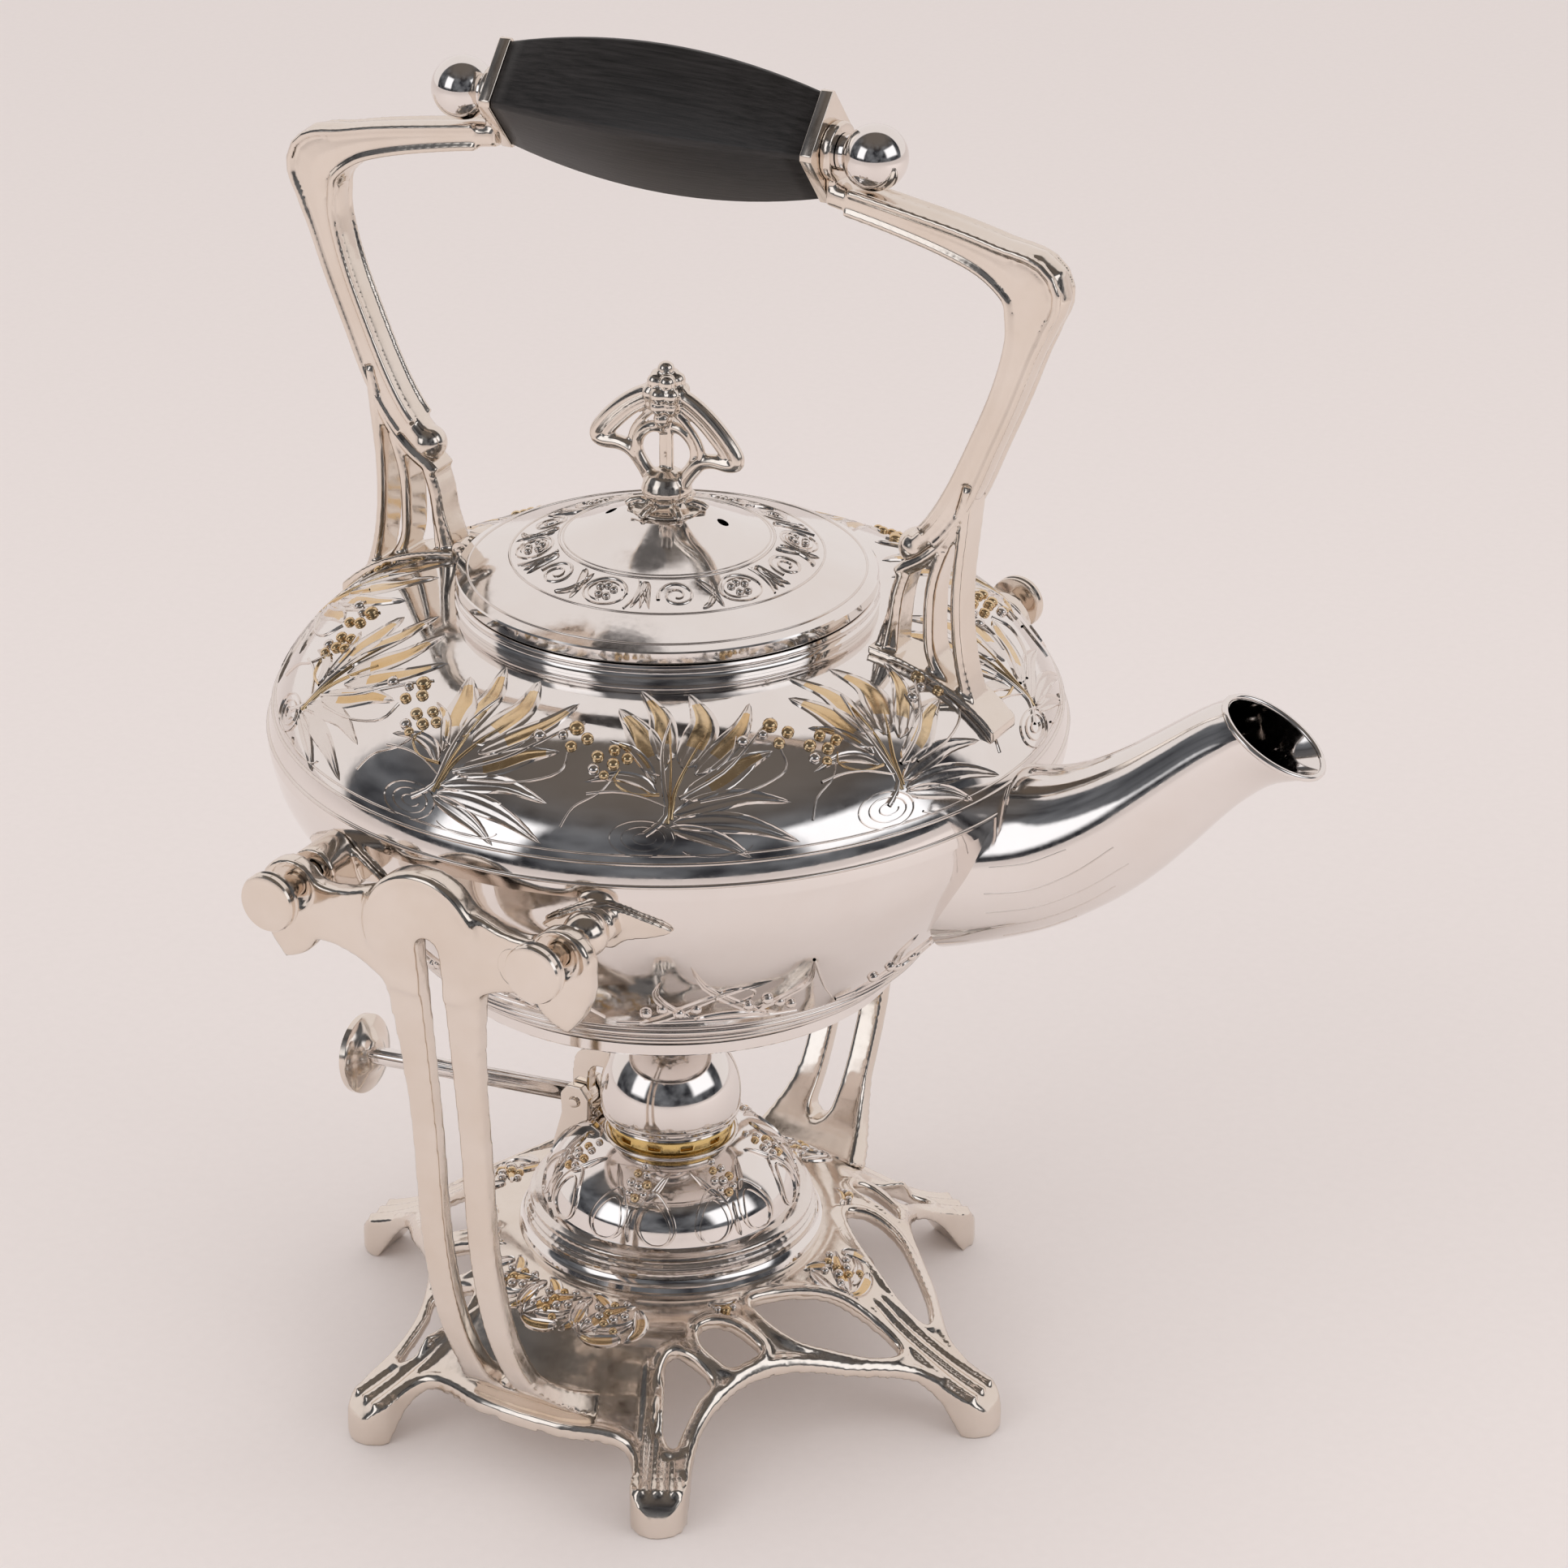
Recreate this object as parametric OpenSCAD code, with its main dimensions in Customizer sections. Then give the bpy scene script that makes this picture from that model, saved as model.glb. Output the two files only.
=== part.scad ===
// Spirit kettle on stand, millimetres, +Z up, spout towards +X.
// The body, lamp and stand share one upright axis, which lies behind the middle of the outline.

/* [Body] */
// Radius of the belly seam
belly_r = 98; // [80:0.5:120]
// Height of the belly seam above the table
belly_z = 175.6; // [150:0.1:200]
// Radius at which the shoulder dome turns flat
dome_flat_r = 50; // [35:0.5:60]
// Rise of the shoulder above the belly seam
dome_h = 33.5; // [20:0.5:50]
// Radius of the flat floor of the kettle
floor_r = 59; // [45:0.5:75]
// Height of the floor above the table
floor_z = 118; // [95:0.5:140]
// Sheet thickness of the spun parts
wall_t = 1.2; // [0.8:0.1:2]
// Height of the wire ring under the floor
foot_ring_h = 3.8; // [2:0.1:6]
// Radial thickness of the wire ring under the floor
foot_ring_t = 3; // [1.5:0.1:5]

/* [Neck and lid] */
// Outer radius of the beaded neck collar
neck_r = 51.5; // [40:0.5:60]
// Radius of the filling hole
neck_bore_r = 47; // [36:0.5:52]
// Height of the neck collar
neck_h = 4.1; // [2:0.1:8]
// Gap between the closed lid and the collar
lid_gap = 0.3; // [0.2:0.05:0.6]
// Outer radius of the lid
lid_r = 51.2; // [40:0.5:60]
// Thickness of the turned edge of the lid
lid_edge_h = 3; // [1.5:0.1:5]
// Rise of the lid from its edge to the knob seat
lid_rise = 15.4; // [8:0.1:25]
// Radius of the flat knob seat on the lid
knob_seat_r = 9.5; // [6:0.1:14]
// Outer radius of the ring that drops into the neck
flange_r = 46; // [35:0.5:50]
// Depth of that ring below the edge of the lid
flange_depth = 3.4; // [2:0.1:6]
// Radius of the steam holes
steam_hole_r = 1.4; // [0.8:0.1:2.5]
// Distance of the steam holes from the lid axis
steam_hole_at = 14; // [12:0.1:20]
// Distance of the lid hinge behind the kettle axis
lid_hinge_x = 55; // [50:0.5:62]
// Height of the lid hinge
lid_hinge_z = 212; // [205:0.1:220]
// Radius of the lid hinge knuckles
knuckle_r = 2.4; // [1.8:0.1:4]
// Radius of the lid hinge pin
lid_pin_r = 1; // [0.6:0.1:1.6]
// Half length of the lid hinge
knuckle_half = 7; // [5:0.1:10]
// Half width of the middle knuckle
knuckle_mid = 2.5; // [1.5:0.1:4]
// Depth of the openwork knob from near to far
knob_depth = 4.6; // [3:0.1:7]
// Radius of one berry on the knob
berry_r = 2.6; // [1.5:0.1:4]

/* [Spout] */
// Reach of the spout lip in front of the kettle axis
front_reach = 171.4; // [150:0.1:190]
// Sheet thickness of the spout
spout_t = 1.4; // [0.8:0.1:2.5]
// Radius of the strainer holes behind the spout
strain_hole_r = 2.2; // [1:0.1:3]

/* [Handle] */
// Reach of the handle corners from the kettle axis
rear_reach = 105.2; // [95:0.1:115]
// Half length of the ebonised grip
grip_half = 41.4; // [35:0.2:55]
// Height of the middle of the grip
grip_z = 329; // [310:0.5:345]
// Half height of the grip at its middle
grip_mid_h = 18.8; // [12:0.1:24]
// Half height of the grip at its ends
grip_end_h = 13.2; // [8:0.1:20]
// Half width of the grip at its middle
grip_mid_w = 14; // [8:0.1:20]
// Half width of the grip at its ends
grip_end_w = 10.4; // [6:0.1:16]
// Length of the plated collar on each end of the grip
grip_collar_l = 3; // [1.5:0.1:6]
// How far the collar stands proud of the wood
grip_collar_out = 0.8; // [0.2:0.1:2]
// Thickness of the lug at the top of each arm
arm_lug_t = 2.6; // [1.5:0.1:5]
// Radius of the lug at the top of each arm
arm_lug_r = 7; // [5:0.1:9]
// Radius of the ball nuts
ball_r = 7.7; // [5:0.1:10]
// Distance of the ball centres from the kettle axis
ball_x = 55.2; // [50:0.1:65]
// Radius of the tie rod
tie_r = 2; // [1:0.1:3]
// Half depth of the handle arms
arm_half_d = 4.3; // [3:0.1:6]
// Depth of the fan bracket strands
strand_d = 8; // [5:0.1:12]
// Half width of one fan bracket strand
strand_w = 1.35; // [0.8:0.05:2.5]
// Width of the rib that sits on the shoulder
rib_d = 12; // [8:0.5:18]
// Thickness of the rib that sits on the shoulder
rib_t = 2; // [1:0.1:4]

/* [Support pins] */
// Distance of the pins in front of and behind the kettle axis
pin_x = 35.7; // [25:0.1:45]
// Height of the pins
pin_z = 170.1; // [160:0.1:185]
// Radius of the pin shafts
pin_r = 2.8; // [2:0.1:4]
// Running play round a pin
pin_play = 0.05; // [0.02:0.01:0.1]
// Radius of the pin heads
pin_head_r = 7.1; // [5:0.1:10]
// Thickness of the pin heads
pin_head_t = 4; // [2:0.1:6]
// Reach of the pin heads outside the belly
pin_out = 24.4; // [18:0.1:32]
// Depth of the inner ends of the pins inside the belly line
pin_in = 3.5; // [1:0.1:5]
// Distance of the front lug balls outside the belly line
lug_out = 0.5; // [0:0.1:4]
// Radius of the ball on each front lug
lug_r = 5.5; // [4:0.1:8]
// Radius of the rear claws
claw_r = 5.8; // [4.5:0.1:9]
// Reach of a leaf wing beside a lug
leaf_half = 14; // [8:0.5:20]
// Thickness of the leaf wings
leaf_t = 1.6; // [0.8:0.1:3]

/* [Uprights] */
// Room between the belly and the pin arms
arm_room = 9; // [6:0.1:14]
// Thickness of the pin arms
arm_t = 4.8; // [3:0.1:8]
// Radius of the arm ends round the pins
boss_r = 8; // [7:0.1:12]
// Radius of the dished recess round each pin
dish_r = 5.4; // [4:0.1:8]
// Depth of that recess
dish_depth = 1.5; // [0.5:0.1:2.5]
// Radius of the arch between the arms
arch_r = 15.5; // [12:0.1:20]
// Height of the centre of the arch
arch_z = 167; // [160:0.1:175]
// Half width of the pair of legs
legs_half = 10; // [7:0.1:13]
// Half width of the slot between the legs
slot_half = 3.2; // [1.5:0.1:4]
// How far the legs stand in front of the kettle axis
legs_x = 1.5; // [0:0.1:2]
// Height of the top of the slot
slot_top = 163; // [150:0.5:170]
// Height of the bottom of the slot
slot_bottom = 31; // [25:0.5:45]
// Half width of the flared foot
flare_half = 19; // [12:0.5:26]
// Radius of the rivets through the feet
rivet_r = 1.5; // [1:0.1:2.5]
// Distance of the rivets from the middle, from near to far
rivet_y = 68.3; // [60:0.1:75]
// Distance of the rivets to the front and to the back
rivet_x = 12; // [6:0.5:16]

/* [Stand base] */
// Top of the flat middle of the base
base_z = 35.5; // [28:0.1:45]
// Thickness of the casting
base_t = 3.4; // [2.5:0.1:8]
// Reach of the feet
foot_reach = 95; // [80:0.5:110]
// Radius of the rounded feet in plan
foot_r = 7; // [4:0.1:9]
// Turn of the four outer legs from the long axis
leg_turn = 62; // [50:1:70]

/* [Lamp] */
// Radius of the reeded foot of the lamp
lamp_foot_r = 37.3; // [30:0.1:45]
// Height of the reeded foot
lamp_foot_h = 6.5; // [4:0.1:10]
// Height of the seat ring on the base
lamp_seat_h = 3; // [1:0.1:6]
// How far the oil bulb stays inside the edge of the reeded foot
bulb_in = 4.9; // [2:0.1:8]
// Height of the widest part of the bulb
bulb_z = 47.5; // [44:0.1:55]
// Radius of the brass collar
lamp_neck_r = 16; // [12:0.1:20]
// Underside of the brass collar
lamp_neck_z = 62; // [58:0.1:68]
// Height of the brass collar
lamp_neck_h = 4; // [2:0.1:8]
// Radius of the wick tube
wick_tube_r = 6; // [4:0.1:9]
// Top of the wick tube
wick_tube_top = 77; // [70:0.5:82]
// Radius of the snuffer cap
cap_r = 18; // [14:0.1:22]
// Height of the centre of the snuffer cap
cap_z = 72.6; // [68:0.1:80]
// Thickness of the cap
cap_t = 1.7; // [1:0.1:3]
// Gap between the closed cap and the collar
cap_gap = 0.3; // [0.2:0.05:0.6]
// Distance of the cap hinge behind the lamp axis
cap_hinge_x = 25.8; // [22:0.1:32]
// Height of the cap hinge
cap_hinge_z = 64; // [60:0.1:70]
// Radius of the barrel on the cap hinge
cap_barrel_r = 3.4; // [2.5:0.1:5]
// Radius of the cap hinge pin
cap_pin_r = 1.3; // [0.8:0.1:2]
// Radius of the lever
lever_r = 2.5; // [1.5:0.05:3]
// Distance of the thumb disc behind the lamp axis
disc_x = 93.5; // [80:0.5:105]
// Height of the thumb disc
disc_z = 57.7; // [50:0.1:65]
// Radius of the thumb disc
disc_r = 10.7; // [7:0.1:13]

/* [Hidden] */
$fn = 96;
axis_x = (rear_reach - front_reach) / 2;
neck_z = belly_z + dome_h;
lid_z = neck_z + neck_h + lid_gap;
seat_z = lid_z + lid_edge_h + lid_rise;
arm_in_y = belly_r + arm_room;
arm_out_y = arm_in_y + arm_t;
pin_out_y = belly_r + pin_out;
pin_in_y = belly_r - pin_in;
lug_y = belly_r + lug_out;
bulb_r = lamp_foot_r - bulb_in;
// Outlines are drawn for the sizes divided by here, and grow with these sizes
body_k = belly_r / 98;
reach_k = (front_reach - belly_r) / 73.4;
arm_k = rear_reach / 105.2;
stand_k = foot_reach / 95;
lamp_k = lamp_foot_r / 37.3;
knob_k = knob_seat_r / 9.5;
lamp_in_r = lamp_foot_r - 7.3;
function body_z(z) = belly_z + (z - 175.6) * body_k;
function spout_x(x) = belly_r + (x - 98) * reach_k;
function handle_z(z) = neck_z + (z - 209.1) * (grip_z - neck_z) / 119.9;
function handle_x(x, z) = x * (body_k + (arm_k - body_k) * min(max((z - 187) / 117, 0), 1));
function on_handle(p) = [for (q = p) [handle_x(q[0], q[1]), handle_z(q[1]), q[2] * arm_k]];
function leg_z(z) = base_z + (z - 35.5) * (pin_z - base_z) / 134.6;
function leg_y(y, z) = y * stand_k + (arm_in_y - 107 * stand_k) * (z - 19) / 165;
function pin_arm(p) = [for (q = p) [q[0] * pin_x / 35.7, pin_z + (q[1] - 170.1) * pin_x / 35.7]];
lamp_z = base_z + lamp_seat_h;
bore_r = pin_r + pin_play;

// Smooth line through the given points, n steps between neighbours
function bend(a, b, c, d, t) =
  (2 * b + (c - a) * t + (2 * a - 5 * b + 4 * c - d) * t * t + (3 * b - a - 3 * c + d) * t * t * t) / 2;
function curve(p, n) = concat(
  [for (i = [0 : len(p) - 2], j = [0 : n - 1])
    bend(p[max(i - 1, 0)], p[i], p[i + 1], p[min(i + 2, len(p) - 1)], j / n)],
  [p[len(p) - 1]]);
// Closed smooth line
function ring_curve(p, n) =
  let (m = len(p))
  [for (i = [0 : m - 1], j = [0 : n - 1])
    bend(p[(i + m - 1) % m], p[i], p[(i + 1) % m], p[(i + 2) % m], j / n)];
// Left normal of a line at point i
function side_of(p, i) =
  let (d = p[min(i + 1, len(p) - 1)] - p[max(i - 1, 0)])
  [-d[1], d[0]] / norm([d[0], d[1]]);
function flat(q) = [q[0], q[1]];
// Strip on the left of a line, between the offsets a and b
function strip(p, a, b) = concat(
  [for (i = [0 : len(p) - 1]) flat(p[i]) + a * side_of(p, i)],
  [for (i = [len(p) - 1 : -1 : 0]) flat(p[i]) + b * side_of(p, i)]);
// Strip of varying half width, kept as the third value of each point
function ribbon(p) = concat(
  [for (i = [0 : len(p) - 1]) flat(p[i]) + p[i][2] * side_of(p, i)],
  [for (i = [len(p) - 1 : -1 : 0]) flat(p[i]) - p[i][2] * side_of(p, i)]);
function swell(v, e) = sign(v) * pow(abs(v), e);

// Everything is drawn on the kettle axis and then moved
module on_axis() {
  translate([axis_x, 0, 0]) children();
}
// Outline drawn as X and Z, thick from y0 to y1
module slab(y0, y1) {
  translate([0, y1, 0]) rotate([90, 0, 0]) linear_extrude(y1 - y0) children();
}
// Outline drawn as Y and Z, thick from x0 to x1
module across(x0, x1) {
  translate([x0, 0, 0]) rotate([90, 0, 90]) linear_extrude(x1 - x0) children();
}
// Local +Z points outwards along a support pin
module on_pin(sx, sy) {
  translate([sx * pin_x, 0, pin_z]) rotate([-90 * sy, 0, 0]) children();
}
module skin(rings) {
  n = len(rings[0]);
  m = len(rings);
  polyhedron(
    points = [for (r = rings, p = r) p],
    faces = concat(
      [[for (k = [0 : n - 1]) k]],
      [[for (k = [0 : n - 1]) m * n - 1 - k]],
      [for (i = [0 : m - 2], k = [0 : n - 1])
        [i * n + k, (i + 1) * n + k, (i + 1) * n + (k + 1) % n]],
      [for (i = [0 : m - 2], k = [0 : n - 1])
        [i * n + k, (i + 1) * n + (k + 1) % n, i * n + (k + 1) % n]]));
}

// Outer line of the bowl, from the axis to the belly seam
function bowl_line() = concat([[0, floor_z]],
  curve(concat([[floor_r, floor_z], [floor_r + 4.3 * body_k, floor_z + 3.6 * body_k],
    [floor_r + 9 * body_k, floor_z + 9 * body_k]],
    [for (q = [[22.2, 39.6], [14.4, 29.6], [7.8, 19.6], [2.4, 9.6], [0, 0]])
      [belly_r, belly_z] - q * body_k]), 3));
// Outer line of the shoulder, from the belly seam to the filling hole
function dome_line(out = 0) = [for (a = [0 : 5 : 90])
  [dome_flat_r + (belly_r - dome_flat_r + out) * cos(a), belly_z + (dome_h + out) * sin(a)]];
module body_solid(out = 0) {
  rotate_extrude() polygon(concat(
    [for (p = bowl_line()) p + [p[0] > 1 ? out : 0, 0]],
    dome_line(out), [[0, neck_z + out]]));
}

module kettle_bowl() color("silver") on_axis() {
  difference() {
    rotate_extrude() intersection() {
      polygon(strip(bowl_line(), 0, wall_t));
      translate([0, floor_z - 1]) square([belly_r + 1, belly_z - floor_z + 1]);
    }
    for (y = [-9, 0, 9]) translate([belly_r - 30, y, belly_z - 12])
      rotate([0, 90, 0]) cylinder(r = strain_hole_r, h = 40);
    for (y = [-4.5, 4.5]) translate([belly_r - 30, y, belly_z - 20])
      rotate([0, 90, 0]) cylinder(r = strain_hole_r, h = 40);
    translate([belly_r - 40, 0, belly_z - 28]) rotate([0, 90, 0]) cylinder(r = strain_hole_r, h = 40);
  }
}

module kettle_shoulder() color("silver") on_axis() {
  rotate_extrude() intersection() {
    polygon(strip(concat(dome_line(), [[neck_bore_r, neck_z]]), 0, wall_t));
    translate([neck_bore_r, belly_z]) square([belly_r, dome_h + 1]);
  }
}

module kettle_foot_ring() color("silver") on_axis() {
  translate([0, 0, floor_z - foot_ring_h]) rotate_extrude() difference() {
    translate([floor_r - 0.1 - foot_ring_t, 0]) square([foot_ring_t, foot_ring_h]);
    translate([floor_r - 0.1, foot_ring_h]) circle(r = 0.6);
  }
}

module neck_collar() color("silver") on_axis() {
  rotate_extrude() difference() {
    translate([neck_bore_r, neck_z]) square([neck_r - neck_bore_r, neck_h]);
    translate([neck_r + 0.6, neck_z + neck_h / 2]) circle(r = 1.3);
  }
}

// Sections of the spout as lower point, upper point and half width
function spout_sections() = curve([for (s = [
  [64, 132, 72, 183, 22], [77, 134.8, 85, 183.8, 22], [92, 140.2, 96, 185, 20.6],
  [107, 147.2, 105, 187, 18.6], [120, 155.9, 114, 191.2, 16.4], [130.5, 165, 122.5, 196.6, 14.4],
  [140, 175.4, 130.5, 202.6, 12.8], [148.5, 185.6, 138, 208.3, 11.4],
  [155, 192.3, 143, 211.8, 10.6], [161.6, 197.2, 146, 213.6, 10.3], [171.4, 200.6, 147.4, 214.6, 10.6]])
  [spout_x(s[0]), body_z(s[1]), spout_x(s[2]), body_z(s[3]), s[4] * body_k]], 3);
function oval(s, t, m) =
  let (c = [s[0] + s[2], s[1] + s[3]] / 2, u = [s[2] - s[0], s[3] - s[1]] / 2, k = 1 - t / norm(u))
  [for (i = [0 : m - 1]) let (a = 360 * i / m)
    [c[0] + u[0] * k * cos(a), -(s[4] - t) * sin(a), c[1] + u[1] * k * cos(a)]];

module spout() color("silver") on_axis() {
  q = spout_sections();
  e = q[len(q) - 1];
  difference() {
    skin([for (s = q) oval(s, 0, 28)]);
    skin([for (s = concat(q, [e + [3.4, 4, 2, 5, 0]])) oval(s, spout_t, 28)]);
    body_solid();
  }
}

// Lugs on the belly, cut to the body
module leaf_wing(sx, sy) {
  translate([0, sy > 0 ? 0 : -belly_r - 10, 0]) slab(0, belly_r + 10) translate([sx * pin_x, pin_z - 1])
    polygon(ring_curve([[-14, -1.5], [-8, 2.6], [-3, 5], [0, 5.6], [3, 5], [8, 2.6], [14, -1.5],
      [9, -3.6], [4, -4.6], [0, -7.5], [-4, -4.6], [-9, -3.6]] * leaf_half / 14, 3));
}
module lug_foot(sx, sy) {
  intersection() {
    body_solid(leaf_t);
    leaf_wing(sx, sy);
  }
  on_pin(sx, sy) translate([0, 0, belly_r - 14]) cylinder(r = 4.6, h = 10);
}
module front_lug(sy) {
  difference() {
    union() {
      lug_foot(1, sy);
      on_pin(1, sy) translate([0, 0, lug_y]) sphere(r = lug_r);
    }
    body_solid();
    on_pin(1, sy) translate([0, 0, pin_in_y - 0.5]) cylinder(r = bore_r, h = 20);
  }
}
module rear_lug(sy) {
  difference() {
    union() {
      lug_foot(-1, sy);
      on_pin(-1, sy) translate([0, 0, pin_in_y - 4.5]) cylinder(r = claw_r, h = 13);
      mirror([0, sy > 0 ? 0 : 1, 0]) slab(pin_in_y - 4.5, pin_in_y + 8.5) translate([-pin_x, pin_z])
        polygon([[-claw_r, 0], [claw_r, 0], [claw_r + 0.6, -6.4], [-claw_r - 0.6, -6.4]]);
    }
    body_solid();
    on_pin(-1, sy) translate([0, 0, pin_in_y - 0.5]) cylinder(r = pin_r + 0.3, h = 20);
    mirror([0, sy > 0 ? 0 : 1, 0]) slab(pin_in_y - 0.5, pin_in_y + 20) translate([-pin_x, pin_z])
      polygon([[-pin_r - 0.3, 0], [pin_r + 0.3, 0], [pin_r + 1.2, -8], [-pin_r - 1.6, -8]]);
  }
}
module near_front_lug() color("silver") on_axis() front_lug(-1);
module far_front_lug() color("silver") on_axis() front_lug(1);
module near_rear_lug() color("silver") on_axis() rear_lug(-1);
module far_rear_lug() color("silver") on_axis() rear_lug(1);

// Pierced fan bracket, drawn for the front and mirrored for the rear
module fan_strands() {
  polygon(ribbon(curve(on_handle([[64, 229.6, 1.4], [66.6, 231.4, 1.8], [71.5, 234.6, 1.8],
    [77, 240.2, 1.7], [80.6, 247.5, 1.5], [82.4, 255, 1.2]]), 4)));
  polygon(ribbon(curve(on_handle([[82.4, 255, 1.1], [81.6, 246.7, strand_w], [79.9, 229, strand_w],
    [80.4, 215, strand_w], [82.8, 203, 1.6], [88, 187, 2.8]]), 4)));
  polygon(ribbon(curve(on_handle([[76.6, 239.2, 1.4], [73.4, 229, strand_w], [72.7, 219, strand_w],
    [73.4, 210.6, strand_w], [77, 204.2, 1.6], [82, 197.5, 2.4]]), 4)));
  polygon(ribbon(curve(on_handle([[66.6, 231.4, 1.6], [64.4, 225, 1.7], [63.4, 218.6, 1.8],
    [62.2, 212.6, 2.6], [61.2, 207.4, 3], [60.8, 203, 3.2]]), 4)));
}
module bracket() {
  difference() {
    union() {
      slab(-strand_d / 2, strand_d / 2) fan_strands();
      slab(-rib_d / 2, rib_d / 2) intersection() {
        polygon(strip(dome_line(), -rib_t, 3));
        translate([dome_flat_r + 8, belly_z + 10]) square([33.5, dome_h]);
      }
    }
    body_solid();
  }
}
module front_handle_bracket() color("silver") on_axis() bracket();
module rear_handle_bracket() color("silver") on_axis() mirror([1, 0, 0]) bracket();

// Handle arm, drawn for the front and mirrored for the rear
function arm_line() = curve(on_handle([
  [45, 318.7, 3], [60, 316.2, 3.2], [76, 313, 3.9], [87, 309.7, 5.1], [96.3, 304.6, 8.6],
  [96.2, 296.6, 6.1], [94.6, 289.4, 4.3], [91, 278, 3.6], [85.7, 264.9, 3.5],
  [80.2, 252.2, 3.7], [74.6, 243.2, 3.4], [68.6, 236.8, 3.2]]), 3);
module arm() {
  q = arm_line();
  difference() {
    union() {
      skin([for (i = [0 : len(q) - 1]) let (n = side_of(q, i), d = arm_half_d)
        [for (k = [0 : 15]) let (a = 22.5 * k, w = q[i][2] * swell(cos(a), 0.7))
          [q[i][0] + n[0] * w, -d * swell(sin(a), 0.7), q[i][1] + n[1] * w]]]);
      translate([handle_x(67.8, 236), 0, handle_z(236)]) sphere(r = 4.6 * arm_k);
      translate([grip_half + grip_collar_l, 0, grip_z - 0.6]) rotate([0, 90, 0])
        cylinder(r = arm_lug_r, h = arm_lug_t);
      translate([grip_half + grip_collar_l, -arm_lug_r / 2, handle_z(317)])
        cube([arm_lug_t, arm_lug_r, grip_z - handle_z(318)]);
    }
    slab(-strand_d, strand_d) fan_strands();
    translate([grip_half - 20, -20, grip_z - 30]) cube([20 + grip_collar_l, 40, 50]);
    translate([0, 0, grip_z - 0.6]) rotate([0, 90, 0]) cylinder(r = tie_r, h = 80);
    translate([ball_x, 0, grip_z - 0.6]) intersection() {
      sphere(r = ball_r);
      translate([grip_half + grip_collar_l + arm_lug_t - ball_x, -20, -20]) cube([40, 40, 40]);
    }
  }
}
module front_handle_arm() color("silver") on_axis() arm();
module rear_handle_arm() color("silver") on_axis() mirror([1, 0, 0]) arm();

function diamond(w, h) =
  let (v = [[0, h], [w, 0], [0, -h], [-w, 0]])
  [for (i = [0 : 3], f = [0.05, 0.95]) v[i] * (1 - f) + v[(i + 1) % 4] * f];
module handle_grip() color([0.1, 0.08, 0.07]) on_axis() {
  difference() {
    skin([for (i = [-9 : 9]) let (x = grip_half * i / 9, k = 1 - i * i / 81,
      w = grip_end_w + (grip_mid_w - grip_end_w) * k, h = grip_end_h + (grip_mid_h - grip_end_h) * k)
      [for (p = diamond(w, h)) [x, p[0], grip_z + p[1]]]]);
    translate([-60, 0, grip_z - 0.6]) rotate([0, 90, 0]) cylinder(r = tie_r, h = 120);
  }
}
module grip_collar() {
  difference() {
    translate([grip_half, 0, grip_z]) rotate([90, 0, 90]) linear_extrude(grip_collar_l)
      polygon(diamond(grip_end_w + grip_collar_out, grip_end_h + grip_collar_out));
    translate([0, 0, grip_z - 0.6]) rotate([0, 90, 0]) cylinder(r = tie_r, h = 80);
  }
}
module front_grip_collar() color("silver") on_axis() grip_collar();
module rear_grip_collar() color("silver") on_axis() mirror([1, 0, 0]) grip_collar();
module grip_tie_rod() color("gray") on_axis() {
  translate([-ball_x, 0, grip_z - 0.6]) rotate([0, 90, 0]) cylinder(r = tie_r, h = 2 * ball_x);
}
module ball_nut() {
  neck = ball_x - grip_half - grip_collar_l - arm_lug_t;
  translate([ball_x, 0, grip_z - 0.6]) rotate([0, 90, 0]) rotate_extrude() difference() {
    union() {
      circle(r = ball_r);
      translate([0, -neck]) square([4.4, neck]);
    }
    translate([-ball_r - 1, -ball_r - 1]) square([ball_r + 1, 3 * ball_r]);
    translate([0, -2 * ball_r - ball_x + grip_half + grip_collar_l + arm_lug_t]) square(2 * ball_r);
    translate([0, -ball_r - 9]) square([tie_r, ball_r + 9]);
  }
}
module front_ball_nut() color("silver") on_axis() ball_nut();
module rear_ball_nut() color("silver") on_axis() mirror([1, 0, 0]) ball_nut();

// Lid hinge at the rear edge of the neck
module on_lid_hinge() {
  translate([-lid_hinge_x, 0, lid_hinge_z]) rotate([-90, 0, 0]) children();
}
module body_hinge_knuckles() color("silver") on_axis() {
  difference() {
    for (s = [-1, 1]) {
      on_lid_hinge() translate([0, 0, s > 0 ? knuckle_mid + 0.3 : -knuckle_half])
        cylinder(r = knuckle_r, h = knuckle_half - knuckle_mid - 0.3);
      translate([-lid_hinge_x - knuckle_r, s > 0 ? knuckle_mid + 0.3 : -knuckle_half, lid_hinge_z - 5])
        cube([2 * knuckle_r, knuckle_half - knuckle_mid - 0.3, 5]);
    }
    on_lid_hinge() translate([0, 0, -20]) cylinder(r = lid_pin_r, h = 40);
    body_solid();
  }
}
module lid_hinge_pin() color("silver") on_axis() {
  on_lid_hinge() translate([0, 0, -knuckle_half - 0.8]) cylinder(r = lid_pin_r, h = 2 * knuckle_half + 1.6);
}
module lid_hinge_knuckle() color("silver") on_axis() {
  difference() {
    union() {
      on_lid_hinge() translate([0, 0, -knuckle_mid]) cylinder(r = knuckle_r, h = 2 * knuckle_mid);
      translate([-lid_hinge_x, -knuckle_mid, lid_z + 0.2]) cube([6, 2 * knuckle_mid, 2]);
    }
    on_lid_hinge() translate([0, 0, -20]) cylinder(r = lid_pin_r + pin_play, h = 40);
    translate([0, 0, lid_z - 1]) cylinder(r = lid_r, h = 10);
  }
}

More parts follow.
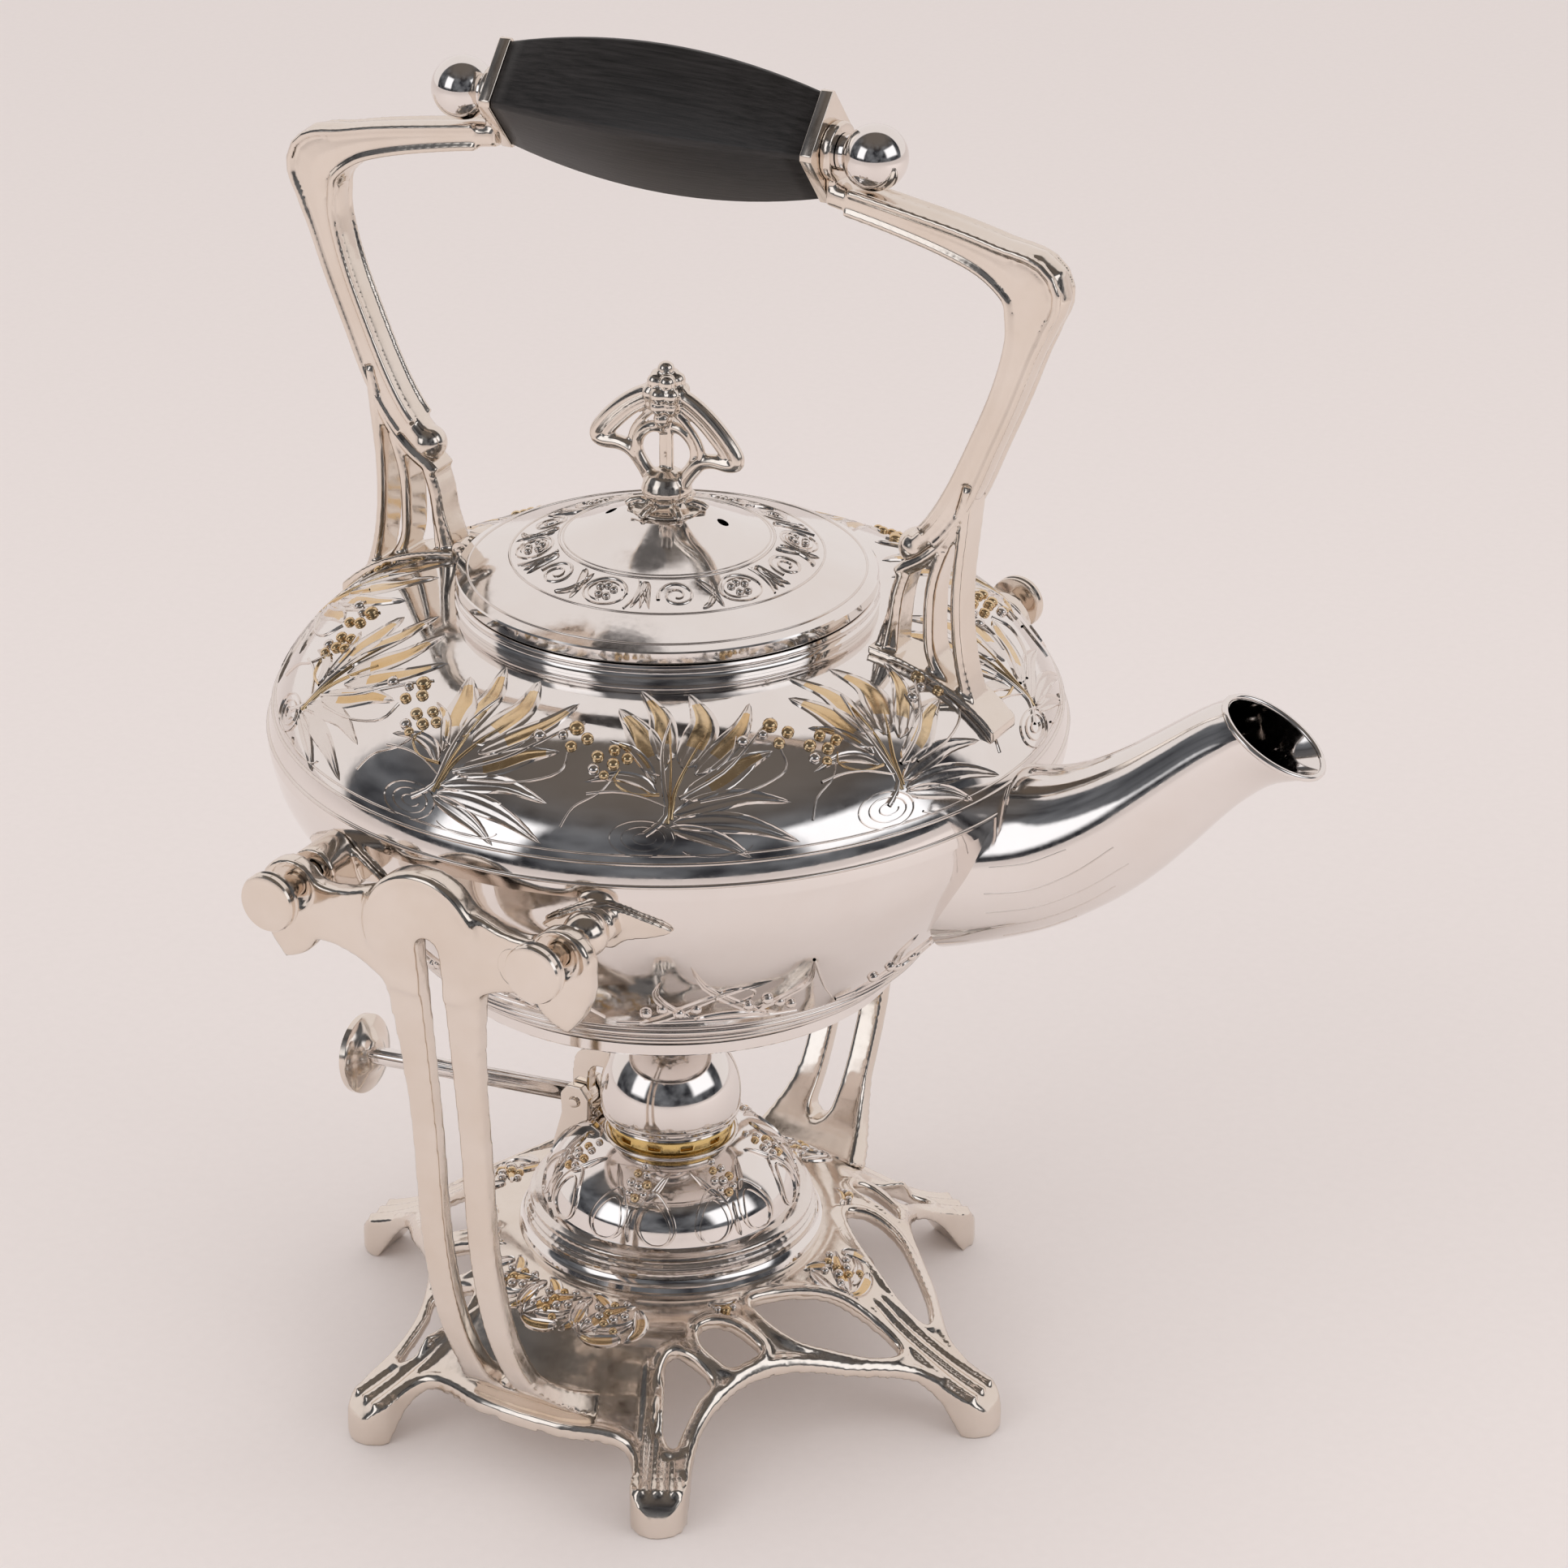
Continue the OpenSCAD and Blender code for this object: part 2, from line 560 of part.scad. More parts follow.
// Lid
function lid_line() = curve([for (q = [[1, 0], [0.683, 0.34], [0.396, 0.655], [0.156, 0.885], [0, 1]])
  [knob_seat_r + q[0] * (lid_r - knob_seat_r), lid_z + lid_edge_h + q[1] * lid_rise]], 3);
module lid_shell() color("silver") on_axis() {
  difference() {
    rotate_extrude() union() {
      polygon(concat(lid_line(), [[0, seat_z], [0, seat_z - wall_t], [knob_seat_r, seat_z - wall_t]],
        [for (i = [len(lid_line()) - 2 : -1 : 1]) lid_line()[i] - [0, wall_t + 0.1]],
        [[lid_r - 1, lid_z + lid_edge_h - wall_t]]));
      translate([flange_r - 2, lid_z]) square([lid_r - flange_r + 2, lid_edge_h]);
    }
    for (s = [-1, 1]) rotate([0, 0, 14]) translate([s * steam_hole_at, 0, lid_z])
      cylinder(r = steam_hole_r, h = 30);
    cylinder(r = 2.5, h = 400);
  }
}
module lid_flange() color("silver") on_axis() {
  translate([0, 0, lid_z - flange_depth]) rotate_extrude()
    translate([flange_r - wall_t, 0]) square([wall_t, flange_depth]);
}
module knob_outline() {
  for (m = [0, 1]) mirror([m, 0]) difference() {
    polygon(concat([[0, 7.2], [0, 31.4]] * knob_k, curve([[4.4, 31.2], [10, 28.8], [15.2, 24.2],
      [19.4, 19], [20.9, 16.2], [19.8, 13.8], [16.8, 12.8], [12, 12.8], [8.6, 11.6],
      [5.4, 7.2]] * knob_k, 3)));
    polygon(ring_curve([[4, 25.2], [9, 24.1], [14, 19.8], [15.2, 17.4], [12.6, 16.7],
      [10.2, 17.2], [8.8, 20.2], [6, 22.8]] * knob_k, 3));
    polygon(ring_curve([[2, 19.1], [4.4, 19], [6.2, 16.5], [5.4, 13.2], [2, 12.4]] * knob_k, 3));
  }
}
module lid_finial() color("silver") on_axis() {
  difference() {
    union() {
      slab(-knob_depth / 2, knob_depth / 2) translate([0, seat_z]) knob_outline();
      translate([0, 0, seat_z]) rotate_extrude() polygon([[0, 0], [8.6, 0], [8.2, 0.9], [5.6, 1.1],
        [4.3, 2], [4.4, 3], [6.2, 4.4], [6.3, 7], [5.4, 8.6], [0, 8.6]] * knob_k);
      for (b = [[0, 35.6, 0], [-2.6, 32.8, 1.6], [2.6, 32.8, 1.6], [0, 32.8, -2.6], [-3.4, 29.6, 2.4],
        [3.4, 29.6, 2.4], [-3.4, 29.6, -2.4], [3.4, 29.6, -2.4], [0, 28.8, 3.2], [0, 28.8, -3.2]])
        translate([b[0] * knob_k, b[2] * knob_k, seat_z + b[1] * knob_k]) sphere(r = berry_r, $fn = 40);
    }
    translate([0, 0, seat_z - 1]) cylinder(r = 1.6, h = 1 + 6 * knob_k);
  }
}
module finial_nut() color("silver") on_axis() {
  translate([0, 0, seat_z - wall_t - 2.4]) cylinder(r = 4.6, h = 2.4);
  translate([0, 0, seat_z - wall_t]) cylinder(r = 2.5, h = wall_t);
  translate([0, 0, seat_z]) cylinder(r = 1.6, h = 6 * knob_k);
}

// Stand base
function base_top() = curve([for (q = [[42, 0], [50, 1.3], [57, 4.8], [67, 12.9], [78.5, 19.6],
  [86, 23], [90.6, 24.9], [93.4, 27.8], [94.6, 31.6], [95, 35.5]])
  [q[0] * stand_k, base_z * (1 - q[1] / 35.5)]], 3);
function base_under() = curve(concat([[88 * stand_k, 0]], [for (q = [[85.4, 3.8], [81.6, 9.2], [76, 14.4],
  [67, 20], [57, 27.4], [50, 31.2]]) [q[0] * stand_k, base_z * q[1] / 35.5 + 3.4 - base_t]],
  [[42 * stand_k, base_z - base_t]]), 3);
module base_dish(under = true) {
  rotate_extrude() polygon(concat([[0, base_z]], base_top(),
    under ? concat(base_under(), [[0, base_z - base_t]]) : [[0, 0]]));
}
// Outer edge of one quarter, from the far side round two feet to the front
function arc_at(a, t0, t1) =
  [for (i = [0 : 10]) let (t = t0 + (t1 - t0) * i / 10)
    (foot_reach - foot_r) * [cos(a), sin(a)] + foot_r * [cos(t), sin(t)]];
function edge_line() = concat(
  curve([[0, 76.6], [12, 75.8], [21, 73.4], [27, 72.4], [31, 73.6], [33.6, 77]] * stand_k, 3),
  arc_at(leg_turn, 168, -14),
  curve([[46.8, 71.8], [44.3, 64.5], [43.3, 57], [44.6, 50], [47.6, 42.8], [52.4, 35.6],
    [59.4, 28.2], [65.8, 22], [71.6, 14.8], [76.5, 9.4], [82, 7.2]] * stand_k, 3),
  arc_at(0, 90, 0));
function back(p) = [for (i = [len(p) - 1 : -1 : 0]) p[i]];
function turned(p, sx, sy) = [for (i = [0 : len(p) - 2]) [sx * p[i][0], sy * p[i][1]]];
module window_plan() {
  polygon(ring_curve([[29.6, 48.8], [28.9, 54], [31.3, 60.3], [35.6, 65.4], [40, 68.2],
    [39.7, 62.5], [39.3, 55], [40.4, 50], [36.6, 48.8]] * stand_k, 3));
  polygon(ring_curve([[32, 41.2], [33.4, 37.6], [37, 35.8], [42.4, 35.6], [46.6, 36.4],
    [44.7, 40.6], [42.4, 44], [38.6, 44.6], [34.2, 44]] * stand_k, 3));
  polygon(ring_curve([[38, 25.4], [44, 17], [52, 10.6], [60, 7.2], [67.6, 6.2],
    [70.6, 8.2], [66.8, 14.8], [61.4, 20.1], [56.6, 24.2], [51.6, 27.8], [44.4, 28.8]] * stand_k, 3));
}
module base_plan() {
  e = edge_line();
  difference() {
    polygon(concat(turned(e, 1, 1), turned(back(e), 1, -1), turned(e, -1, -1), turned(back(e), -1, 1)));
    for (m = [0, 1], n = [0, 1]) mirror([m, 0]) mirror([0, n]) window_plan();
  }
}
module rivet_spots() {
  for (x = [-rivet_x, rivet_x], y = [-rivet_y, rivet_y]) translate([x, y, 0]) children();
}
module stand_base() color("silver") on_axis() {
  difference() {
    intersection() {
      base_dish();
      translate([0, 0, -1]) linear_extrude(60) base_plan();
    }
    rivet_spots() cylinder(r = rivet_r, h = base_z);
  }
}
module foot_rivets() color("silver") on_axis() {
  difference() {
    rivet_spots() translate([0, 0, leg_z(14.2)]) cylinder(r = 1.8 * rivet_r, h = 5);
    base_dish();
  }
  rivet_spots() translate([0, 0, leg_z(14.6)]) cylinder(r = rivet_r, h = 8);
}
module lamp_seat() color("silver") on_axis() {
  translate([0, 0, base_z]) rotate_extrude() polygon([[lamp_foot_r - 5.3, 0], [lamp_foot_r + 2, 0],
    [lamp_foot_r + 1.4, lamp_seat_h / 2], [lamp_foot_r + 0.2, lamp_seat_h],
    [lamp_foot_r - 5.3, lamp_seat_h]]);
}

// Uprights, drawn for the far side and mirrored for the near side
module legs_front() {
  translate([0, arch_z]) circle(r = arch_r);
  for (m = [0, 1]) translate([legs_x, 0]) mirror([m, 0]) polygon(concat(
    [[0, leg_z(15)], [0, arch_z]],
    curve([[arch_r - (m > 0 ? -legs_x : legs_x), arch_z], [arch_r * 0.91, leg_z(158)],
      [arch_r * 0.8, leg_z(148)], [legs_half + 0.7 * arch_r / 15.5, leg_z(130)],
      [legs_half, leg_z(110)]], 4),
    curve([[legs_half, leg_z(45)], [legs_half * 1.06, leg_z(36)], [legs_half * 1.3, leg_z(29)],
      [flare_half * 0.84, leg_z(23.6)], [flare_half, leg_z(18)], [flare_half, leg_z(15)]], 4)));
}
module arms_front() {
  for (m = [0, 1]) mirror([m, 0]) {
    translate([pin_x + 0.8, pin_z - 1.5]) circle(r = boss_r);
    polygon(concat(pin_arm([[0, 150], [0, 177]]), curve(pin_arm([[8, 177], [15, 174.6], [22, 172.4],
      [29, 172.4], [34, 175.4]]), 4), curve(pin_arm([[35, 160], [30, 158], [24, 157.6],
      [17, 155.4], [10, 151]]), 4)));
    polygon(concat(curve(pin_arm([[27, 165], [29.6, 157.6], [33, 153.4], [38.4, 151]]), 4),
      curve(pin_arm([[42, 155.6], [44.2, 161], [44.4, 167]]), 3)));
  }
}
module upright() {
  difference() {
    union() {
      intersection() {
        across(-2 * flare_half, 2 * flare_half) polygon(ribbon(curve([for (q = [[110, 184, 3],
          [110, 165, 3], [107.8, 146, 2.5], [103.8, 111, 2.3], [101.2, 80, 2.3], [95.6, 56, 2.3],
          [86.4, 37.4, 2.4], [77, 27.4, 2.6], [69, 22, 3], [63, 19, 3]])
          [leg_y(q[0], q[1]), leg_z(q[1]), q[2] * arm_t / 4.8]], 4)));
        slab(foot_reach / 3, pin_out_y) legs_front();
      }
      slab(arm_in_y, arm_out_y) arms_front();
    }
    slab(foot_reach / 3, pin_out_y) translate([legs_x - slot_half, slot_bottom])
      square([2 * slot_half, slot_top - slot_bottom]);
    slab(foot_reach / 3, pin_out_y) translate([legs_x, slot_top]) circle(r = slot_half);
    slab(foot_reach / 3, pin_out_y) translate([legs_x, slot_bottom]) circle(r = slot_half);
    for (s = [-1, 1]) on_pin(s, 1) translate([0, 0, pin_in_y]) cylinder(r = bore_r, h = 40);
    for (s = [-1, 1]) on_pin(s, 1) translate([0, 0, arm_out_y - dish_depth]) cylinder(r = dish_r, h = 9);
    base_dish(false);
    rivet_spots() translate([0, 0, leg_z(10)]) cylinder(r = rivet_r, h = leg_z(22.6) - leg_z(10));
  }
}
module far_upright() color("silver") on_axis() upright();
module near_upright() color("silver") on_axis() mirror([0, 1, 0]) upright();

// Lamp
function bulb_line() = curve(concat([[lamp_foot_r - 4.3, lamp_z + lamp_foot_h]],
  [for (q = [[0, 0], [-0.9, 3], [-3, 6.3], [-6.2, 9.2], [-10.6, 12]]) [bulb_r, bulb_z] + q * lamp_k],
  [[lamp_neck_r + 1.6, lamp_neck_z - 0.8], [lamp_neck_r - 2, lamp_neck_z]]), 3);
module bulb_solid() {
  rotate_extrude() polygon(concat([[0, lamp_z], [lamp_in_r, lamp_z]], bulb_line(), [[0, lamp_neck_z]]));
}
module lamp_base_ring() color("silver") on_axis() {
  rotate_extrude() polygon([for (q = [[-7.3, 0], [0, 0], [0, 1.4], [-0.9, 2], [-0.3, 3.2], [-1.2, 4],
    [-0.8, 5.2], [-1.8, 6], [-2.4, 6.5], [-4.3, 6.5], [-7.3, 3.5]])
    [lamp_foot_r + q[0], lamp_z + q[1] * lamp_foot_h / 6.5]]);
}
module lamp_reservoir() color("silver") on_axis() {
  rotate_extrude() difference() {
    polygon(concat([[0, lamp_z], [lamp_in_r, lamp_z], [lamp_in_r, lamp_z + lamp_foot_h * 0.54]],
      bulb_line(),
      [[9, lamp_neck_z], [9, lamp_neck_z - wall_t], [0, lamp_neck_z - wall_t]]));
    polygon(concat([[0, lamp_z + wall_t], [lamp_in_r - wall_t, lamp_z + wall_t],
      [lamp_in_r - wall_t, lamp_z + lamp_foot_h * 0.63]],
      [for (p = [for (i = [1 : len(bulb_line()) - 2]) bulb_line()[i]]) p - [wall_t, wall_t * 0.6]],
      [[9, lamp_neck_z - wall_t], [0, lamp_neck_z - wall_t]]));
    square([9, lamp_neck_z + 1]);
  }
  translate([0, 0, lamp_z]) cylinder(r = 10, h = wall_t);
}
module lamp_neck() color("goldenrod") on_axis() {
  difference() {
    translate([0, 0, lamp_neck_z]) rotate_extrude() polygon([[wick_tube_r, 0], [lamp_neck_r - 2, 0],
      [lamp_neck_r, 0.8], [lamp_neck_r, lamp_neck_h - 0.6], [lamp_neck_r - 0.8, lamp_neck_h],
      [wick_tube_r, lamp_neck_h]]);
    for (a = [0 : 30 : 330]) rotate([0, 0, a + 15]) translate([lamp_neck_r - 1.4, -1.6, lamp_neck_z + 1.2])
      cube([4, 3.2, 1.2]);
  }
}
module wick_tube() color("goldenrod") on_axis() {
  translate([0, 0, lamp_neck_z - 4]) difference() {
    cylinder(r = wick_tube_r, h = wick_tube_top - lamp_neck_z + 4);
    translate([0, 0, -1]) cylinder(r = wick_tube_r - 0.8, h = 40);
  }
}
module wick() color("linen") on_axis() {
  translate([0, 0, lamp_z + wall_t]) cylinder(r = wick_tube_r - 0.8, h = wick_tube_top - lamp_z + 1);
}
module on_cap_hinge() {
  translate([-cap_hinge_x, 0, cap_hinge_z]) rotate([-90, 0, 0]) children();
}
// Outline drawn round the cap hinge
module by_hinge(y0, y1) {
  slab(y0 * lamp_k, y1 * lamp_k) translate([-cap_hinge_x, cap_hinge_z]) children();
}
module lamp_hinge_bracket() color("silver") on_axis() {
  difference() {
    union() {
      for (s = [0, 1]) mirror([0, s, 0]) by_hinge(2.5, 5) polygon([[-7, -14.6], [-6, -11],
        [-4, -4], [-4.2, 1.8], [-2, 4.6], [2, 4.6], [4.2, 1.4], [4, -6], [0, -14]] * lamp_k);
      by_hinge(-5, 5) polygon([[-7, -14.6], [-6, -11], [-4.2, -7.6], [1.8, -4.8], [3.8, -6],
        [0, -14]] * lamp_k);
    }
    bulb_solid();
    on_cap_hinge() translate([0, 0, -20]) cylinder(r = cap_pin_r, h = 40);
  }
}
module cap_hinge_pin() color("silver") on_axis() {
  on_cap_hinge() translate([0, 0, -5.8 * lamp_k]) cylinder(r = cap_pin_r, h = 11.6 * lamp_k);
}
module cap_ball(r) {
  translate([0, 0, cap_z]) sphere(r = r);
}
module snuffer_cap() color("silver") on_axis() {
  difference() {
    cap_ball(cap_r);
    cap_ball(cap_r - cap_t);
    translate([0, 0, lamp_neck_z + lamp_neck_h + cap_gap - 30]) cylinder(r = 30, h = 30);
  }
}
module cap_strap() color("silver") on_axis() {
  difference() {
    union() {
      on_cap_hinge() translate([0, 0, -2.1 * lamp_k]) cylinder(r = cap_barrel_r, h = 4.2 * lamp_k);
      by_hinge(-2.1, 2.1) polygon(concat(
        curve([[-2.2, 2], [-2, 8], [-0.8, 13], [3.8, 15.6], [10.8, 15.4]] * lamp_k, 3),
        curve([[11.8, 10], [5.8, 10.6], [2.8, 8.4], [2.4, 2]] * lamp_k, 3)));
    }
    cap_ball(cap_r);
    on_cap_hinge() translate([0, 0, -20]) cylinder(r = cap_pin_r + pin_play, h = 40);
  }
}
lever_tilt = atan((cap_hinge_z - disc_z) / (disc_x - cap_hinge_x));
module disc_shape(solid) {
  translate([-disc_x, 0, disc_z]) rotate([0, -90 - lever_tilt, 0]) rotate_extrude() polygon(solid
    ? [[0, -3.4], [4.4, -3.4], [disc_r, -0.6], [disc_r, 1.6], [0, 1.6]]
    : [[0, -3.4], [4.4, -3.4], [disc_r, -0.6], [disc_r, 1.6], [disc_r - 1.4, 1.6], [disc_r - 3, -0.2],
      [4, -1.6], [0, -1.6]]);
}
module lever_rod() color("silver") on_axis() {
  difference() {
    translate([-cap_hinge_x, 0, cap_hinge_z]) rotate([0, -90 - lever_tilt, 0])
      cylinder(r = lever_r, h = disc_x - cap_hinge_x);
    on_cap_hinge() translate([0, 0, -20]) cylinder(r = cap_barrel_r, h = 40);
    disc_shape(true);
  }
}
module lever_disc() color("silver") on_axis() disc_shape(false);

// Support pins
module support_pin(sx, sy) {
  on_pin(sx, sy) {
    translate([0, 0, pin_in_y]) cylinder(r = pin_r, h = pin_out_y - pin_head_t - pin_in_y);
    translate([0, 0, pin_out_y - pin_head_t]) rotate_extrude() polygon([[0, 0], [pin_head_r - 0.6, 0],
      [pin_head_r, 0.6], [pin_head_r, pin_head_t - 1], [pin_head_r - 0.8, pin_head_t - 0.3],
      [pin_head_r - 3, pin_head_t], [0, pin_head_t]]);
  }
}
module near_front_pin() color("silver") on_axis() support_pin(1, -1);
module near_rear_pin() color("silver") on_axis() support_pin(-1, -1);
module far_front_pin() color("silver") on_axis() support_pin(1, 1);
module far_rear_pin() color("silver") on_axis() support_pin(-1, 1);

kettle_shoulder();
kettle_bowl();
kettle_foot_ring();
neck_collar();
spout();
near_front_lug();
far_front_lug();
near_rear_lug();
far_rear_lug();
front_handle_bracket();
rear_handle_bracket();
front_handle_arm();
rear_handle_arm();
handle_grip();
front_grip_collar();
rear_grip_collar();
grip_tie_rod();
front_ball_nut();
rear_ball_nut();
body_hinge_knuckles();
lid_hinge_pin();
lid_shell();
lid_flange();
lid_hinge_knuckle();
lid_finial();
finial_nut();
stand_base();
near_upright();
far_upright();
foot_rivets();
lamp_seat();
lamp_base_ring();
lamp_reservoir();
lamp_neck();
wick_tube();
wick();
lamp_hinge_bracket();
cap_hinge_pin();
snuffer_cap();
cap_strap();
lever_rod();
lever_disc();
near_front_pin();
near_rear_pin();
far_front_pin();
far_rear_pin();
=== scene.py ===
import math

import bpy
from mathutils import Matrix, Vector
from mathutils.bvhtree import BVHTree


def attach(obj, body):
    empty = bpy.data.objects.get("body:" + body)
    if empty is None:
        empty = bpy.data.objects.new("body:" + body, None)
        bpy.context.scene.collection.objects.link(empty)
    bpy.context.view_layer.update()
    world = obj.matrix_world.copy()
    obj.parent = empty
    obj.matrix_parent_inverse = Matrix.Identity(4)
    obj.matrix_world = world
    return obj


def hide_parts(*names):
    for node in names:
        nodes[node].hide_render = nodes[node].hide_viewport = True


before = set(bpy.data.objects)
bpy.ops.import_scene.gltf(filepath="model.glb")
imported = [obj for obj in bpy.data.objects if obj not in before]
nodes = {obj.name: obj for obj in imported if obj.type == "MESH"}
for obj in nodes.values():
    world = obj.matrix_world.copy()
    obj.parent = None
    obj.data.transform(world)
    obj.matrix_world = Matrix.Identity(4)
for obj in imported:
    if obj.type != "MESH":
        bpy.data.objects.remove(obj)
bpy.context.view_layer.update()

AXIS = -0.0331      # the kettle, lamp and stand share one upright axis, behind the middle of the outline


# The bowl is spun from nickel silver sheet and silver plated, a round bottom with a flat floor.
# The plate is polished to a mirror: it shows the pale table and the dim side of the room,
# with soft wiping marks and a faint warm tarnish where the cloth doesn't reach.
def linear(hex_colour):
    parts = [int(hex_colour[i:i + 2], 16) / 255 for i in (1, 3, 5)]
    return [c / 12.92 if c <= 0.04045 else ((c + 0.055) / 1.055) ** 2.4 for c in parts] + [1]


def add_node(tree, kind, settings=None, **links):
    node = tree.nodes.new(kind)
    for name, value in (settings or {}).items():
        if hasattr(node, name):
            setattr(node, name, value)
        else:
            node.inputs[name].default_value = value
    for name, source in links.items():
        socket = node.inputs[int(name[1:])] if name[1:].isdigit() else node.inputs[name.replace("_", " ")]
        tree.links.new(source, socket)
    return node


def new_material(name):
    material = bpy.data.materials.new(name)
    material.use_nodes = True
    material.node_tree.nodes.clear()
    return material, material.node_tree


def plated_metal(name, light, warm, low, high, mark_mm, dent, hollow_tarnish_and_shade):
    material, tree = new_material(name)
    place = add_node(tree, "ShaderNodeTexCoord").outputs["Object"]
    cloudy = add_node(tree, "ShaderNodeTexNoise", {"Scale": 1000 / 26, "Detail": 4, "Roughness": 0.6},
                      Vector=place)
    marks = add_node(tree, "ShaderNodeTexNoise", {"Scale": 1000 / mark_mm, "Detail": 5, "Roughness": 0.7},
                     Vector=place)
    tint = add_node(tree, "ShaderNodeMix", {"data_type": "RGBA"}, _0=cloudy.outputs["Fac"])
    tint.inputs[6].default_value = linear(light)
    tint.inputs[7].default_value = linear(warm)
    colour = tint.outputs[2]
    # concave places (low pointiness) are mixed toward the hollow colour: part tarnish, part painted shade where less
    # light reaches
    if hollow_tarnish_and_shade:
        bend = add_node(tree, "ShaderNodeNewGeometry").outputs["Pointiness"]
        tarnish_and_shade_mask = add_node(tree, "ShaderNodeMapRange", {"From Min": 0.47, "From Max": 0.40, "To Min": 0.0,
                                                     "To Max": 0.75}, Value=bend)
        tarnish_and_shade_mix = add_node(tree, "ShaderNodeMix", {"data_type": "RGBA"}, _0=tarnish_and_shade_mask.outputs["Result"], _6=colour)
        tarnish_and_shade_mix.inputs[7].default_value = linear(hollow_tarnish_and_shade)
        colour = tarnish_and_shade_mix.outputs[2]
    rough = add_node(tree, "ShaderNodeMapRange",
                     {"From Min": 0.35, "From Max": 0.7, "To Min": low, "To Max": high},
                     Value=marks.outputs["Fac"])
    dents = add_node(tree, "ShaderNodeBump", {"Strength": dent, "Distance": 0.0004},
                     Height=cloudy.outputs["Fac"])
    metal = add_node(tree, "ShaderNodeBsdfPrincipled", {"Metallic": 1.0}, Base_Color=colour,
                     Roughness=rough.outputs["Result"], Normal=dents.outputs["Normal"])
    add_node(tree, "ShaderNodeOutputMaterial", Surface=metal.outputs["BSDF"])
    return material


spun_silver = plated_metal("polished_silver_plate", "#F4F1EF", "#EAE2DC", 0.04, 0.12, 3.0, 0.15, None)


def smooth_line(points, steps):
    line = []
    for i in range(len(points) - 1):
        a, b = points[max(i - 1, 0)], points[i]
        c, d = points[i + 1], points[min(i + 2, len(points) - 1)]
        for j in range(steps):
            t = j / steps
            line.append(tuple((2 * q + (r - p) * t + (2 * p - 5 * q + 4 * r - s) * t * t
                               + (3 * q - p - 3 * r + s) * t ** 3) / 2 for p, q, r, s in zip(a, b, c, d)))
    return line + [tuple(points[-1])]


def alone(piece):
    bpy.ops.object.select_all(action="DESELECT")
    piece.select_set(True)
    bpy.context.view_layer.objects.active = piece


def new_piece(name, points, edges=(), faces=()):
    mesh = bpy.data.meshes.new(name)
    mesh.from_pydata([Vector(p) for p in points], edges, faces)
    piece = bpy.data.objects.new(name, mesh)
    bpy.context.scene.collection.objects.link(piece)
    alone(piece)
    return piece


def finish(piece, body, slot, material, *replaced):
    if isinstance(material, tuple):
        for i, one in enumerate(material):
            piece.data.materials[i] = one
    else:
        piece.data.materials.clear()
        piece.data.materials.append(material)
    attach(piece, body)
    if replaced:
        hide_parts(*replaced)


# an outline spun on the lathe: a ring that closes on itself, or a line with both ends on the axis
def spun(name, points, centre, axis, steps, sharp, ring=True, merge=2e-6):
    count = len(points)
    piece = new_piece(name, points, [(i, (i + 1) % count) for i in range(count if ring else count - 1)])
    bpy.ops.object.mode_set(mode="EDIT")
    bpy.ops.mesh.select_all(action="SELECT")
    bpy.ops.mesh.spin(steps=steps, angle=math.tau, center=centre, axis=axis)
    bpy.ops.mesh.select_all(action="SELECT")
    bpy.ops.mesh.remove_doubles(threshold=merge)
    bpy.ops.mesh.normals_make_consistent(inside=False)
    bpy.ops.object.mode_set(mode="OBJECT")
    bpy.ops.object.shade_smooth_by_angle(angle=math.radians(sharp))
    return piece


# a ring outline in millimetres from the upright axis and above the table
def turned(name, outline, steps=192, sharp=32):
    points = [(AXIS + r / 1000, 0, z / 1000) for r, z in outline]
    return spun(name, points, (AXIS, 0, 0), (0, 0, 1), steps, sharp)


def inner(line, wall):
    out = []
    for i, (r, z) in enumerate(line):
        (r0, z0), (r1, z1) = line[max(i - 1, 0)], line[min(i + 1, len(line) - 1)]
        long = math.hypot(r1 - r0, z1 - z0)
        out.append((r - wall * (z1 - z0) / long, z + wall * (r1 - r0) / long))
    return out


bowl_line = smooth_line([(59, 118), (63.3, 121.6), (68, 127), (75.8, 136), (83.6, 146), (90.2, 156),
                         (95.6, 166), (98, 175.6)], 6)
bowl_inside = inner(bowl_line, 1.2)
bowl = turned("kettle_bowl_spun", [(0.02, 118)] + bowl_line + [(96.8, 175.6)] + bowl_inside[-2:0:-1]
              + [(58.6, 119.2), (0.02, 119.2)])
finish(bowl, "kettle", "silver_plate", spun_silver, "kettle_bowl")

# A round wire ring is soldered under the floor, and a beaded collar round the filling hole.
foot_ring = turned("kettle_foot_ring_wire", [(55.9, 114.6), (56.3, 114.2), (58.5, 114.2), (58.9, 114.6),
                                             (58.9, 117.2), (58.3, 117.4), (58.3, 118), (55.9, 118)])
finish(foot_ring, "kettle", "silver_plate", spun_silver, "kettle_foot_ring")

collar_line = [(47, 209.1), (51.5, 209.1), (51.5, 209.9)] + [
    (52.1 - 1.3 * math.cos(a), 211.15 + 1.3 * math.sin(a)) for a in [-0.9, -0.5, 0, 0.5, 0.9]] + [
    (51.5, 212.5), (51.2, 213), (50.7, 213.2), (47.3, 213.2), (47, 212.9)]
collar = turned("neck_collar_turned", collar_line)
finish(collar, "kettle", "silver_plate", spun_silver, "neck_collar")

# The shoulder is a second spinning, a low dome soldered to the bowl at the belly seam.
dome_line = [(50 + 48 * math.cos(a), 175.6 + 33.5 * math.sin(a)) for a in
             [math.pi / 2 * i / 40 for i in range(41)]]
dome_inside = inner(dome_line, 1.2)
shoulder = turned("kettle_shoulder_spun", dome_line + [(47, 209.1), (47, 207.9)] + dome_inside[-1:0:-1]
                  + [(96.8, 175.6)])
finish(shoulder, "kettle", "silver_plate", spun_silver, "kettle_shoulder")
